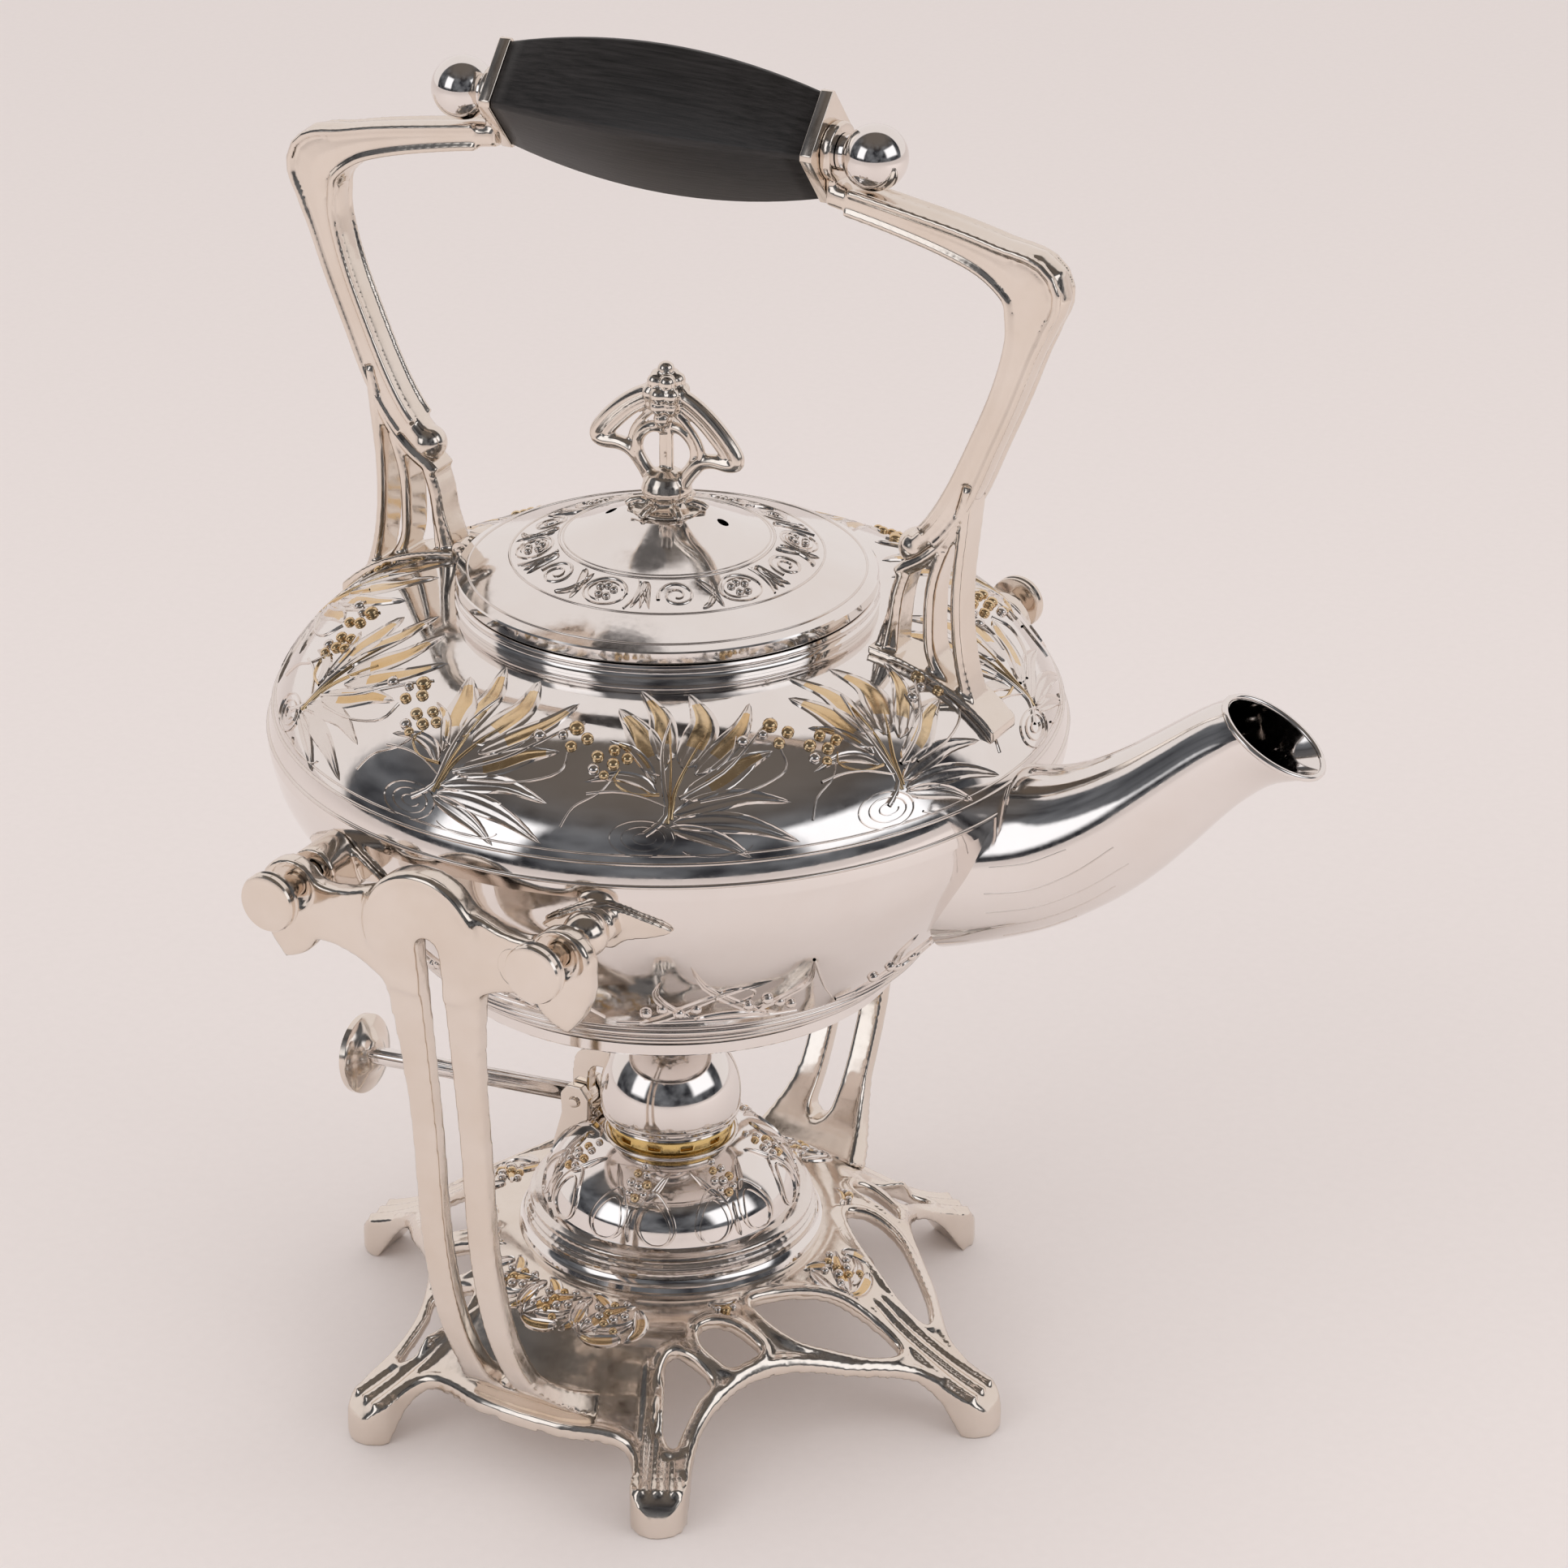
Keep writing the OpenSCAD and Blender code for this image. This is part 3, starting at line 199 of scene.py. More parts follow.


# The sprays on the shoulder are raised by hand from the sheet: leaves with a rim and a middle vein,
# stems and berries, ten sprays round the body. The hollows of the leaves and the berries are
# parcel gilt, worn to silver on the rims.
# The hollows of the chasing darken towards #5E5146: part tarnish, part painted shade.
chased_silver = plated_metal("chased_silver_plate", "#F1ECE9", "#DDD2C8", 0.08, 0.2, 1.6, 0.2, "#5E5146")
gilt = plated_metal("worn_parcel_gilding", "#F3E7CE", "#CE9C45", 0.12, 0.3, 1.8, 0.3, None)

bpy.ops.object.select_all(action="DESELECT")
bpy.ops.mesh.primitive_grid_add(x_subdivisions=8, y_subdivisions=12, size=2, location=(0, 0, 0))
blank = bpy.context.object
leaf_blank = ([tuple(v.co) for v in blank.data.vertices], [tuple(f.vertices) for f in blank.data.polygons])
bpy.data.objects.remove(blank)
bpy.ops.mesh.primitive_ico_sphere_add(subdivisions=2, radius=1, location=(0, 0, 0))
blank = bpy.context.object
berry_blank = ([tuple(v.co) for v in blank.data.vertices], [tuple(f.vertices) for f in blank.data.polygons])
bpy.data.objects.remove(blank)


def face_outwards():
    bpy.ops.object.mode_set(mode="EDIT")
    bpy.ops.mesh.select_all(action="SELECT")
    bpy.ops.mesh.normals_make_consistent(inside=False)
    bpy.ops.object.mode_set(mode="OBJECT")


# a place on a turned surface: degrees round the axis, millimetres along its outline, height over it
def on_turned(outline):
    reach = [0]
    for (r0, z0), (r1, z1) in zip(outline, outline[1:]):
        reach.append(reach[-1] + math.hypot(r1 - r0, z1 - z0))

    def place(turn, along, height=None):
        i = 0
        while i < len(reach) - 2 and reach[i + 1] < along:
            i += 1
        (r0, z0), (r1, z1) = outline[i], outline[i + 1]
        long = reach[i + 1] - reach[i]
        t = (along - reach[i]) / long
        r, z = r0 + (r1 - r0) * t, z0 + (z1 - z0) * t
        if height is None:
            return r
        lean = math.copysign(1, (outline[-1][1] - outline[0][1]))
        nr, nz = (z1 - z0) / long * lean, -(r1 - r0) / long * lean
        r, z, a = r + nr * height, z + nz * height, math.radians(turn)
        return (AXIS + r * math.cos(a) / 1000, r * math.sin(a) / 1000, z / 1000)

    return place


# lays leaves, stems and berries on a surface and returns them as one piece
def chased(name, place, leaves=(), stems=(), berries=(), turns=(0,), raise_mm=0.45):
    points, faces, gilded = [], [], []

    def strip(line, width, turn, leafy, golden):
        rows, quads = leaf_blank
        if not leafy and len(line) > 6:
            count = 3 * len(line)
            rows = [(x, 2 * j / count - 1, 0) for j in range(count + 1) for x in (-1, -0.5, 0.5, 1)]
            quads = [(4 * j + k, 4 * j + k + 1, 4 * j + k + 5, 4 * j + k + 4)
                     for j in range(count) for k in range(3)]
        line = smooth_line(line, 4)
        first = len(points)
        for x, y, _ in rows:
            t = (y + 1) / 2
            at = t * (len(line) - 1)
            i = min(int(at), len(line) - 2)
            (u0, v0), (u1, v1) = line[i][:2], line[i + 1][:2]
            u, v = u0 + (u1 - u0) * (at - i), v0 + (v1 - v0) * (at - i)
            r = place(u, v) * math.pi / 180
            du, dv = (u1 - u0) * r, v1 - v0
            long = math.hypot(du, dv) or 1
            if leafy:
                half = width * (0.10 * (1 - t) + math.sin(math.pi * t ** 0.75) ** 0.85 * 0.95) + 0.03
                height = {0: 0.7, 1: 0.25, 2: 0.2, 3: 0.9, 4: -0.5}[round(abs(x) * 4)]
                height = height if t < 0.97 else min(height, 0.2)
            else:
                half = width * (1 - 0.55 * t)
                height = {0: 1.0, 1: 0.95, 2: 0.8, 3: 0.5, 4: -0.5}[round(abs(x) * 4)]
            points.append(place(turn + u - dv / long * x * half / r, v + du / long * x * half,
                                height * raise_mm))
        for face in quads:
            faces.append(tuple(first + i for i in face))
            middle = sum(rows[i][0] for i in face) / len(face)
            up = sum(rows[i][1] for i in face) / len(face)
            worn = leafy and 0.1 < abs(middle) < 0.62 and -0.55 < up < 0.6
            gilded.append(1 if golden and worn or golden == 2 else 0)

    def berry(u, v, radius, turn, golden):
        first = len(points)
        r = place(u, v) * math.pi / 180
        for x, y, z in berry_blank[0]:
            points.append(place(turn + u + x * radius / r, v + y * radius, z * radius * 0.75 + radius * 0.2))
        for face in berry_blank[1]:
            faces.append(tuple(first + i for i in face))
            gilded.append(1 if golden else 0)

    for turn in turns:
        for line, width, golden in leaves:
            strip(line, width, turn, True, golden)
        for line, width, golden in stems:
            strip(line, width, turn, False, golden)
        for u, v, radius, golden in berries:
            berry(u, v, radius, turn, golden)
    piece = new_piece(name, points, (), faces)
    piece.data.materials.append(None)
    piece.data.materials.append(None)
    piece.data.polygons.foreach_set("material_index", gilded)
    face_outwards()
    bpy.ops.object.shade_smooth_by_angle(angle=math.radians(70))
    return piece


def loop(u, v, wide, high, whole=360, start=0, count=16):
    return [(u + wide * math.cos(math.radians(start + whole * i / count)),
             v + high * math.sin(math.radians(start + whole * i / count))) for i in range(count + 1)]


SPRAYS = [-60 + 36 * i for i in range(10)]
shoulder_place = on_turned(dome_line)
spray_leaves = [
    ([(-0.8, 30), (-3.0, 37), (-5.6, 44), (-9.8, 50.5)], 4.4, 1),
    ([(0, 33), (-0.5, 41), (-1.4, 49), (-6, 58.5)], 3.7, 1),
    ([(2.6, 32), (5.6, 39.5), (7.2, 47), (5.2, 57)], 4.4, 1),
    ([(4.6, 30), (9.4, 36.5), (14, 43), (17.6, 51)], 3.2, 1),
    ([(2.4, 24), (8, 28), (13, 32.4), (18, 34.6)], 3.4, 1),
    ([(1, 20), (6, 22.6), (12, 23.6), (18.4, 21)], 2.8, 0),
    ([(1, 18), (7, 18.2), (13, 16.2), (18.6, 11.6)], 2.8, 0),
    ([(0.5, 17), (4.6, 15.6), (8.6, 13), (11.6, 9.4)], 2.2, 0),
    ([(-1.4, 25), (-4, 28.4), (-8, 29.4), (-12.6, 27.4)], 1.8, 0),
    ([(-1.6, 28), (-3.4, 33), (-6, 37), (-10, 39.5)], 1.6, 1)]
spray_stems = [
    ([(-3, 15.5), (0, 20), (-0.4, 28), (-0.6, 38), (1, 47)], 1.0, 0),
    ([(0.6, 19), (1.4, 26), (3.6, 33), (6, 39)], 0.7, 2),
    ([(0.2, 18), (0.6, 26), (0.8, 34), (0.6, 42)], 0.5, 2),
    ([(2, 24), (9, 30), (13.5, 36), (17, 41), (20.5, 44.5)], 0.7, 0),
    ([(8, 31), (11, 35), (12.5, 40)], 0.5, 0),
    ([(5, 23), (13, 25), (19, 29), (19.4, 34.6)], 0.5, 0),
    ([(-1, 25), (-5, 25), (-8, 28), (-7.4, 31)], 0.45, 2),
    ([(-12, 24.4), (-8, 25.4), (-4, 24.6), (0, 22)], 0.45, 0),
    ([(-15, 16), (-13.5, 21), (-10, 25), (-8, 30)], 0.4, 0),
    (loop(-3.4, 14.6, 4.6, 4.2), 0.4, 0), (loop(-3.2, 14.6, 3.1, 2.8), 0.35, 0),
    (loop(-3, 14.6, 1.6, 1.3, 300, 60), 0.3, 0),
    (loop(7, 12.6, 5, 2.4, 150, 200), 0.35, 0)]
spray_berries = [
    (-11.4, 34.4, 1.5, 1), (-8.8, 36.6, 1.4, 1), (-8.6, 32.6, 1.5, 1), (-11.6, 30.8, 1.4, 0), (-6.4, 34.4, 1.4, 1),
    (-9.8, 29.4, 1.2, 1), (19.4, 42.4, 1.8, 1), (22, 39.4, 1.5, 1), (13.4, 38.4, 1.5, 0), (19.6, 36.6, 1.4, 1),
    (17.4, 39.8, 1.2, 0)]
sprays = chased("shoulder_sprays", shoulder_place, spray_leaves, spray_stems, spray_berries, SPRAYS)
finish(sprays, "kettle", "silver_plate", (chased_silver, gilt))


def bead(name, place, along, radius, count=192, sides=6, wave=0.0, waves=0):
    points, faces = [], []
    for i in range(count):
        for k in range(sides):
            a = math.tau * k / sides
            shift = wave * math.sin(math.tau * i * waves / count)
            points.append(place(360 * i / count, along + shift + radius * math.sin(a), radius * math.cos(a)))
    for i in range(count):
        for k in range(sides):
            j, m = (i + 1) % count, (k + 1) % sides
            faces.append((i * sides + k, j * sides + k, j * sides + m, i * sides + m))
    piece = new_piece(name, points, (), faces)
    face_outwards()
    bpy.ops.object.shade_smooth()
    return piece


for name, along, radius in (("shoulder_border_low", 8.6, 0.45), ("shoulder_border_high", 10.6, 0.3),
                            ("belly_bead", 3.4, 0.5)):
    finish(bead(name, shoulder_place, along, radius), "kettle", "silver_plate", chased_silver)


# The bowl carries crossed leaf blades with berries above two drawn beads near the foot ring.
bowl_place = on_turned(bowl_line)
crossed_leaves = [
    ([(-14, 15), (-9, 19), (-4, 26), (2, 33), (9, 37)], 1.7, 0),
    ([(12, 16), (8, 21), (3, 28), (-2, 37), (-4.5, 47)], 1.6, 0),
    ([(-4, 20), (-8, 26), (-10, 33), (-9, 40)], 1.3, 0),
    ([(8, 20), (13, 27), (16, 33), (15, 44)], 1.2, 0),
    ([(-3, 18), (2, 20), (8, 19.4), (13, 17)], 1.3, 0)]
crossed_stems = [([(-18, 15), (-6, 16.5), (6, 16.5), (18, 15)], 0.6, 0), (loop(3.4, 31, 3.4, 4), 0.5, 0),
                 ([(15, 44), (18, 34), (21, 26), (25, 18)], 0.5, 0)]
crossed_berries = [(-12, 22.5, 1.5, 0), (-9, 25.2, 1.4, 0), (-6, 22.6, 1.5, 0), (-3, 24.8, 1.4, 0),
                   (6.4, 24.6, 1.4, 0), (9.6, 27, 1.5, 0), (12.4, 24, 1.4, 0), (15.2, 21.2, 1.4, 0)]
blades = chased("bowl_crossed_blades", bowl_place, crossed_leaves, crossed_stems, crossed_berries,
                [-52 + 45 * i for i in range(8)])
finish(blades, "kettle", "silver_plate", chased_silver)
for name, along, radius in (("bowl_bead_low", 2.6, 0.8), ("bowl_bead_middle", 5.6, 0.6),
                            ("bowl_bead_high", 9.4, 0.9), ("bowl_bead_fine", 11.8, 0.4)):
    finish(bead(name, bowl_place, along, radius), "kettle", "silver_plate", chased_silver)


# The spout is raised from one sheet round a core, oval in section, and soldered to the body.
# Its lip is cut at a slant and wired, and fine strokes are chased along it from the root.
SECTIONS = smooth_line([
    (64, 132, 72, 183, 22), (77, 134.8, 85, 183.8, 22), (92, 140.2, 96, 185, 20.6),
    (107, 147.2, 105, 187, 18.6), (120, 155.9, 114, 191.2, 16.4), (130.5, 165, 122.5, 196.6, 14.4),
    (140, 175.4, 130.5, 202.6, 12.8), (148.5, 185.6, 138, 208.3, 11.4), (155, 192.3, 143, 211.8, 10.6),
    (161.6, 197.2, 146, 213.6, 10.3), (171.4, 200.6, 147.4, 214.6, 10.6)], 4)


def spout_ring(section, wall, count=48):
    x0, z0, x1, z1, half = section
    cx, cz, ux, uz = (x0 + x1) / 2, (z0 + z1) / 2, (x1 - x0) / 2, (z1 - z0) / 2
    k = 1 - wall / math.hypot(ux, uz)
    return [(AXIS + (cx + ux * k * math.cos(a)) / 1000, -(half - wall) * math.sin(a) / 1000,
             (cz + uz * k * math.cos(a)) / 1000) for a in [math.tau * i / count for i in range(count)]]


start = next(i for i, s in enumerate(SECTIONS) if s[0] > 80)
shown = SECTIONS[start:]
spout_rings = [spout_ring(s, 0) for s in shown] + [spout_ring(shown[-1], 0.7)] + [
    spout_ring(s, 1.4) for s in reversed(shown)]
spout_points = [p for ring in spout_rings for p in ring]
spout_faces = []
for i in range(len(spout_rings)):
    for k in range(48):
        j, m = (i + 1) % len(spout_rings), (k + 1) % 48
        spout_faces.append((i * 48 + k, j * 48 + k, j * 48 + m, i * 48 + m))
spout = new_piece("spout_raised", spout_points, (), spout_faces)
face_outwards()
bpy.ops.object.shade_smooth_by_angle(angle=math.radians(40))
cutter = turned("body_core", [(0.02, 117)] + bowl_inside[1:-1] + [(96.8, 175.6)] + dome_inside[1:]
                + [(0.02, 208)], 96)
alone(spout)
cut = spout.modifiers.new("body", "BOOLEAN")
cut.operation, cut.object, cut.solver = "DIFFERENCE", cutter, "EXACT"
bpy.ops.object.modifier_apply(modifier="body")
bpy.data.objects.remove(cutter)
bpy.ops.object.shade_smooth_by_angle(angle=math.radians(40))
finish(spout, "kettle", "silver_plate", spun_silver, "spout")


def wire(name, paths, radius, sides=2, closed=False):
    curve = bpy.data.curves.new(name, "CURVE")
    curve.dimensions, curve.bevel_depth, curve.bevel_resolution = "3D", radius / 1000, sides
    curve.use_fill_caps = True
    for path in paths:
        spline = curve.splines.new("POLY")
        spline.points.add(len(path) - 1)
        for point, place in zip(spline.points, path):
            point.co = (*place, 1)
        spline.use_cyclic_u = closed
    piece = bpy.data.objects.new(name, curve)
    bpy.context.scene.collection.objects.link(piece)
    alone(piece)
    bpy.ops.object.convert(target="MESH")
    piece = bpy.context.object
    bpy.ops.object.shade_smooth()
    return piece


def from_side(tree, line, way, sink=0.3):
    out = []
    for x, z in line:
        hit = tree.ray_cast(Vector((AXIS + x / 1000, way * 0.2, z / 1000)), Vector((0, -way, 0)))[0]
        if hit:
            out.append((hit.x, hit.y - way * sink / 1000, hit.z))
    return out


spout_shape = BVHTree.FromObject(spout, bpy.context.evaluated_depsgraph_get())
strokes = [[(97, 161), (108, 164), (118, 170), (127, 178)],
           [(97, 155.5), (109, 159), (120, 165.4), (130, 173.6)],
           [(97, 150.4), (108, 154), (118, 159.6), (126, 166)], [(98, 146.4), (107, 149.6), (115, 154)],
           [(98, 168), (107, 170.6), (116, 175.6)]]
lines = wire("spout_chased_strokes", [from_side(spout_shape, smooth_line(stroke, 5), way, 0.12)
                                      for stroke in strokes for way in (-1, 1)], 0.22, 1)
finish(lines, "kettle", "silver_plate", chased_silver)
lip = wire("spout_lip_wire", [spout_ring(SECTIONS[-1], 0.5)], 0.8, 2, True)
finish(lip, "kettle", "silver_plate", spun_silver)


# The lugs, handle brackets, arms and stand are cast, filed and polished.
# Their corners are soft, their faces slightly uneven, and the deep places are darkened, part old polish and part
# painted shade.
cast_silver = plated_metal("cast_silver_plate", "#F2EBE4", "#DFD1C2", 0.08, 0.2, 2.0, 0.2, "#564C44")


def merged_copy(node, name):
    piece = bpy.data.objects.new(name, nodes[node].data.copy())
    bpy.context.scene.collection.objects.link(piece)
    alone(piece)
    bpy.ops.object.mode_set(mode="EDIT")
    bpy.ops.mesh.select_all(action="SELECT")
    bpy.ops.mesh.remove_doubles(threshold=3e-6)
    bpy.ops.object.mode_set(mode="OBJECT")
    return piece


def cast_piece(node, body, voxel_mm, extras=(), rounds=3, strength=0.5):
    piece = merged_copy(node, node + "_cast")
    if extras:
        for extra in extras:
            extra.select_set(True)
        bpy.context.view_layer.objects.active = piece
        bpy.ops.object.join()
    remesh = piece.modifiers.new("skin", "REMESH")
    remesh.mode, remesh.voxel_size = "VOXEL", voxel_mm / 1000
    bpy.ops.object.modifier_apply(modifier="skin")
    soften = piece.modifiers.new("soften", "SMOOTH")
    soften.factor, soften.iterations = strength, rounds
    bpy.ops.object.modifier_apply(modifier="soften")
    bpy.ops.object.shade_smooth()
    finish(piece, body, "silver_plate", cast_silver, node)
    return piece


def filed_copy(node, body, slot="silver_plate", material=None, bevel=0.25, sharp=30):
    piece = merged_copy(node, node + "_filed")
    bpy.ops.object.mode_set(mode="EDIT")
    bpy.ops.mesh.select_all(action="SELECT")
    bpy.ops.mesh.dissolve_limited(angle_limit=math.radians(0.4))
    bpy.ops.object.mode_set(mode="OBJECT")
    if bevel:
        edge = piece.modifiers.new("edge", "BEVEL")
        edge.width, edge.segments, edge.limit_method = bevel / 1000, 2, "ANGLE"
        edge.angle_limit = math.radians(35)
        bpy.ops.object.modifier_apply(modifier="edge")
    bpy.ops.object.shade_smooth_by_angle(angle=math.radians(sharp))
    finish(piece, body, slot, material or cast_silver, node)
    return piece


for side in ("near", "far"):
    for end in ("front", "rear"):
        cast_piece(side + "_" + end + "_lug", "kettle", 0.5)


# The handle arms are S-shaped castings with two ridges down each face and a groove between them.
# A pierced fan of four strands stands on a rib that is soldered to the shoulder.
ARM = [(45, 318.7, 3), (60, 316.2, 3.2), (76, 313, 3.9), (87, 309.7, 5.1), (96.3, 304.6, 8.6),
       (96.2, 296.6, 6.1), (94.6, 289.4, 4.3), (91, 278, 3.6), (85.7, 264.9, 3.5),
       (80.2, 252.2, 3.7), (74.6, 243.2, 3.4), (68.6, 236.8, 3.2)]


def beside(line, share, extra=0.0):
    out = []
    for i, (x, z, half) in enumerate(line):
        (x0, z0), (x1, z1) = line[max(i - 1, 0)][:2], line[min(i + 1, len(line) - 1)][:2]
        long = math.hypot(x1 - x0, z1 - z0)
        k = half * share + extra
        out.append((x - (z1 - z0) / long * k, z + (x1 - x0) / long * k))
    return out


arm_line = smooth_line(ARM, 5)
for end, way in (("front", 1), ("rear", -1)):
    ridges = []
    for share in (-0.78, 0.78):
        for y in (-3.9, 3.9):
            ridges.append([(AXIS + way * x / 1000, y / 1000, z / 1000)
                           for x, z in beside(arm_line, share)[2:-3]])
    cast_piece(end + "_handle_arm", "kettle", 0.5, [wire(end + "_arm_ridges", ridges, 1.0)])

STRANDS = [
    [(64, 229.6, 1.4), (66.6, 231.4, 1.8), (71.5, 234.6, 1.8), (77, 240.2, 1.7), (80.6, 247.5, 1.5),
     (82.4, 255, 1.2)],
    [(82.4, 255, 1.1), (81.6, 246.7, 1.35), (79.9, 229, 1.35), (80.4, 215, 1.35), (82.8, 203, 1.6),
     (88, 187, 2.8)],
    [(76.6, 239.2, 1.4), (73.4, 229, 1.35), (72.7, 219, 1.35), (73.4, 210.6, 1.35), (77, 204.2, 1.6),
     (82, 197.5, 2.4)],
    [(66.6, 231.4, 1.6), (64.4, 225, 1.7), (63.4, 218.6, 1.8), (62.2, 212.6, 2.6), (61.2, 207.4, 3),
     (60.8, 203, 3.2)]]
for end, way in (("front", 1), ("rear", -1)):
    ridges = [[(AXIS + way * x / 1000, y / 1000, z / 1000) for x, z in beside(smooth_line(s, 5), 0)[1:-1]]
              for s in STRANDS for y in (-3.9, 3.9)]
    cast_piece(end + "_handle_bracket", "kettle", 0.45, [wire(end + "_strand_ridges", ridges, 0.9)])


# The grip is ebonised hardwood, planed to a diamond section and waxed. The stain is nearly black,
# and the wax leaves a low sheen that shows the fine straight grain along its length.
ebony, tree = new_material("ebonised_waxed_hardwood")
place = add_node(tree, "ShaderNodeTexCoord").outputs["Object"]
along = add_node(tree, "ShaderNodeMapping", {"Scale": (30, 900, 900)}, Vector=place)
grain = add_node(tree, "ShaderNodeTexNoise", {"Scale": 1.6, "Detail": 6, "Roughness": 0.65},
                 Vector=along.outputs["Vector"])
shade = add_node(tree, "ShaderNodeValToRGB", {}, Fac=grain.outputs["Fac"])
shade.color_ramp.elements[0].position, shade.color_ramp.elements[0].color = 0.32, linear("#141312")
shade.color_ramp.elements[1].position, shade.color_ramp.elements[1].color = 0.74, linear("#302D2D")
sheen = add_node(tree, "ShaderNodeMapRange", {"To Min": 0.28, "To Max": 0.5}, Value=grain.outputs["Fac"])
pores = add_node(tree, "ShaderNodeBump", {"Strength": 0.25, "Distance": 0.0002}, Height=grain.outputs["Fac"])
wood = add_node(tree, "ShaderNodeBsdfPrincipled", {}, Base_Color=shade.outputs["Color"],
                Roughness=sheen.outputs["Result"], Normal=pores.outputs["Normal"])
add_node(tree, "ShaderNodeOutputMaterial", Surface=wood.outputs["BSDF"])
filed_copy("handle_grip", "kettle", "ebonised_wood", ebony, 0.5, 25)

for node in ("front_grip_collar", "rear_grip_collar"):
    filed_copy(node, "kettle")


# A ball nut closes each end of the tie rod that runs through the grip, turned from solid.
GRIP_Z, BALL_X, BALL_R = 328.4, 55.2, 7.7
outline = [(2.0, -8.0), (4.4, -8.0), (4.4, -6.3)] + [
    (BALL_R * math.cos(a), BALL_R * math.sin(a)) for a in
    [math.radians(-55 + 144 * i / 24) for i in range(25)]] + [(0.02, BALL_R), (0.02, 6.5), (2.0, 6.5)]
for end, way in (("front", 1), ("rear", -1)):
    nut = spun(end + "_ball_nut_turned", [(AXIS + way * (BALL_X + t) / 1000, 0, (GRIP_Z + r) / 1000)
                                          for r, t in outline], (AXIS, 0, 0.3284), (1, 0, 0), 64, 35)
    finish(nut, "kettle", "silver_plate", spun_silver, end + "_ball_nut")

rod_steel = plated_metal("drawn_steel_rod", "#9A9BA0", "#83827F", 0.25, 0.4, 1.0, 0.2, None)
nodes["grip_tie_rod"].data.materials.clear()
nodes["grip_tie_rod"].data.materials.append(rod_steel)


# The lid is spun, with a turned edge and a ring that drops into the neck. It hangs on a small
# three-knuckle hinge at the rear. Its top is slightly hollow and engraved with scrolls between two circles.
for node in ("body_hinge_knuckles", "lid_hinge_pin"):
    filed_copy(node, "kettle", bevel=0.15)
lid_line = smooth_line([(51.2, 216.5), (38, 220.7), (26, 224.6), (16, 228.9), (9.5, 231.9)], 6)
lid = turned("lid_shell_spun", [(44, 213.5), (50.9, 213.5), (51.2, 213.9), (51.2, 216.2), (50.9, 216.6)]
             + lid_line[1:] + [(2.6, 231.9), (2.6, 230.7), (9.5, 230.6)]
             + [(r, z - 1.3) for r, z in lid_line[-2:1:-1]] + [(46, 216.0), (44, 215.6)])
finish(lid, "lid", "silver_plate", spun_silver, "lid_shell")
for way in (-1, 1):
    bpy.ops.object.select_all(action="DESELECT")
    turn = math.radians(14)
    bpy.ops.mesh.primitive_cylinder_add(vertices=32, radius=0.0014, depth=0.03, location=(
        AXIS + way * 0.014 * math.cos(turn), way * 0.014 * math.sin(turn), 0.228))
    punch = bpy.context.object
    alone(lid)
    hole = lid.modifiers.new("steam", "BOOLEAN")
    hole.operation, hole.object, hole.solver = "DIFFERENCE", punch, "EXACT"
    bpy.ops.object.modifier_apply(modifier="steam")
    bpy.data.objects.remove(punch)
bpy.ops.object.shade_smooth_by_angle(angle=math.radians(32))
for node in ("lid_flange", "lid_hinge_knuckle"):
    filed_copy(node, "lid", bevel=0.15)
nodes["finial_nut"].data.materials.clear()
nodes["finial_nut"].data.materials.append(cast_silver)

lid_place = on_turned(lid_line)


def lid_along(r):
    return (51.2 - r) * 1.075


for name, r, radius in (("lid_engraved_ring_out", 38.4, 0.3), ("lid_engraved_ring_in", 26.6, 0.35),
                        ("lid_engraved_ring_fine", 25.6, 0.2), ("lid_edge_line", 48.4, 0.3)):
    finish(bead(name, lid_place, lid_along(r), radius), "lid", "silver_plate", chased_silver)
panel_stems, panel_leaves = [], []
spiral = []
for i in range(22):
    a, k = math.radians(200 - 32 * i), 4.7 * (1 - i / 26)
    spiral.append((31.5 + k * math.cos(a) / 0.56, lid_along(32.2) + k * math.sin(a)))
panel_stems.append((spiral, 0.6, 0))
panel_stems.append((loop(0, lid_along(32.4), 9.6, 4.7), 0.55, 0))
panel_stems.append((loop(0, lid_along(32.4), 7.6, 3.5, 250, 20), 0.3, 0))
panel_stems.append(([(11, lid_along(37.2)), (13.4, lid_along(33.5)), (14, lid_along(30)),
                     (13, lid_along(27.6)), (13.5, lid_along(28)), (14, lid_along(28)), (14.5, lid_along(28))], 0.35, 0))
for k in (-1, 0, 1):
    panel_leaves.append(([(17 + 0.4 * k, lid_along(28)), (17 + 1.2 * k, lid_along(31)),
                          (17 + 3.6 * k, lid_along(36.8))], 1.1, 0))
panel_leaves.append(([(42, lid_along(27.6)), (45, lid_along(30)), (47.6, lid_along(33.4)),
                      (48.6, lid_along(37.4))], 1.2, 0))
panel_leaves.append(([(40.6, lid_along(37)), (44.6, lid_along(35.4)), (47.4, lid_along(32)),
                      (48.4, lid_along(28))], 0.9, 0))
panel_berries = [(-3.4, lid_along(31.4), 1.05, 0), (0, lid_along(30.6), 1.05, 0),
                 (3.4, lid_along(31.6), 1.05, 0), (-1.7, lid_along(33.8), 1.05, 0), (1.9, lid_along(34), 1.05, 0)]
scrolls = chased("lid_engraved_scrolls", lid_place, panel_leaves, panel_stems, panel_berries,
                 [-87 + 60 * i for i in range(6)], 0.42)
finish(scrolls, "lid", "silver_plate", (chased_silver, gilt))

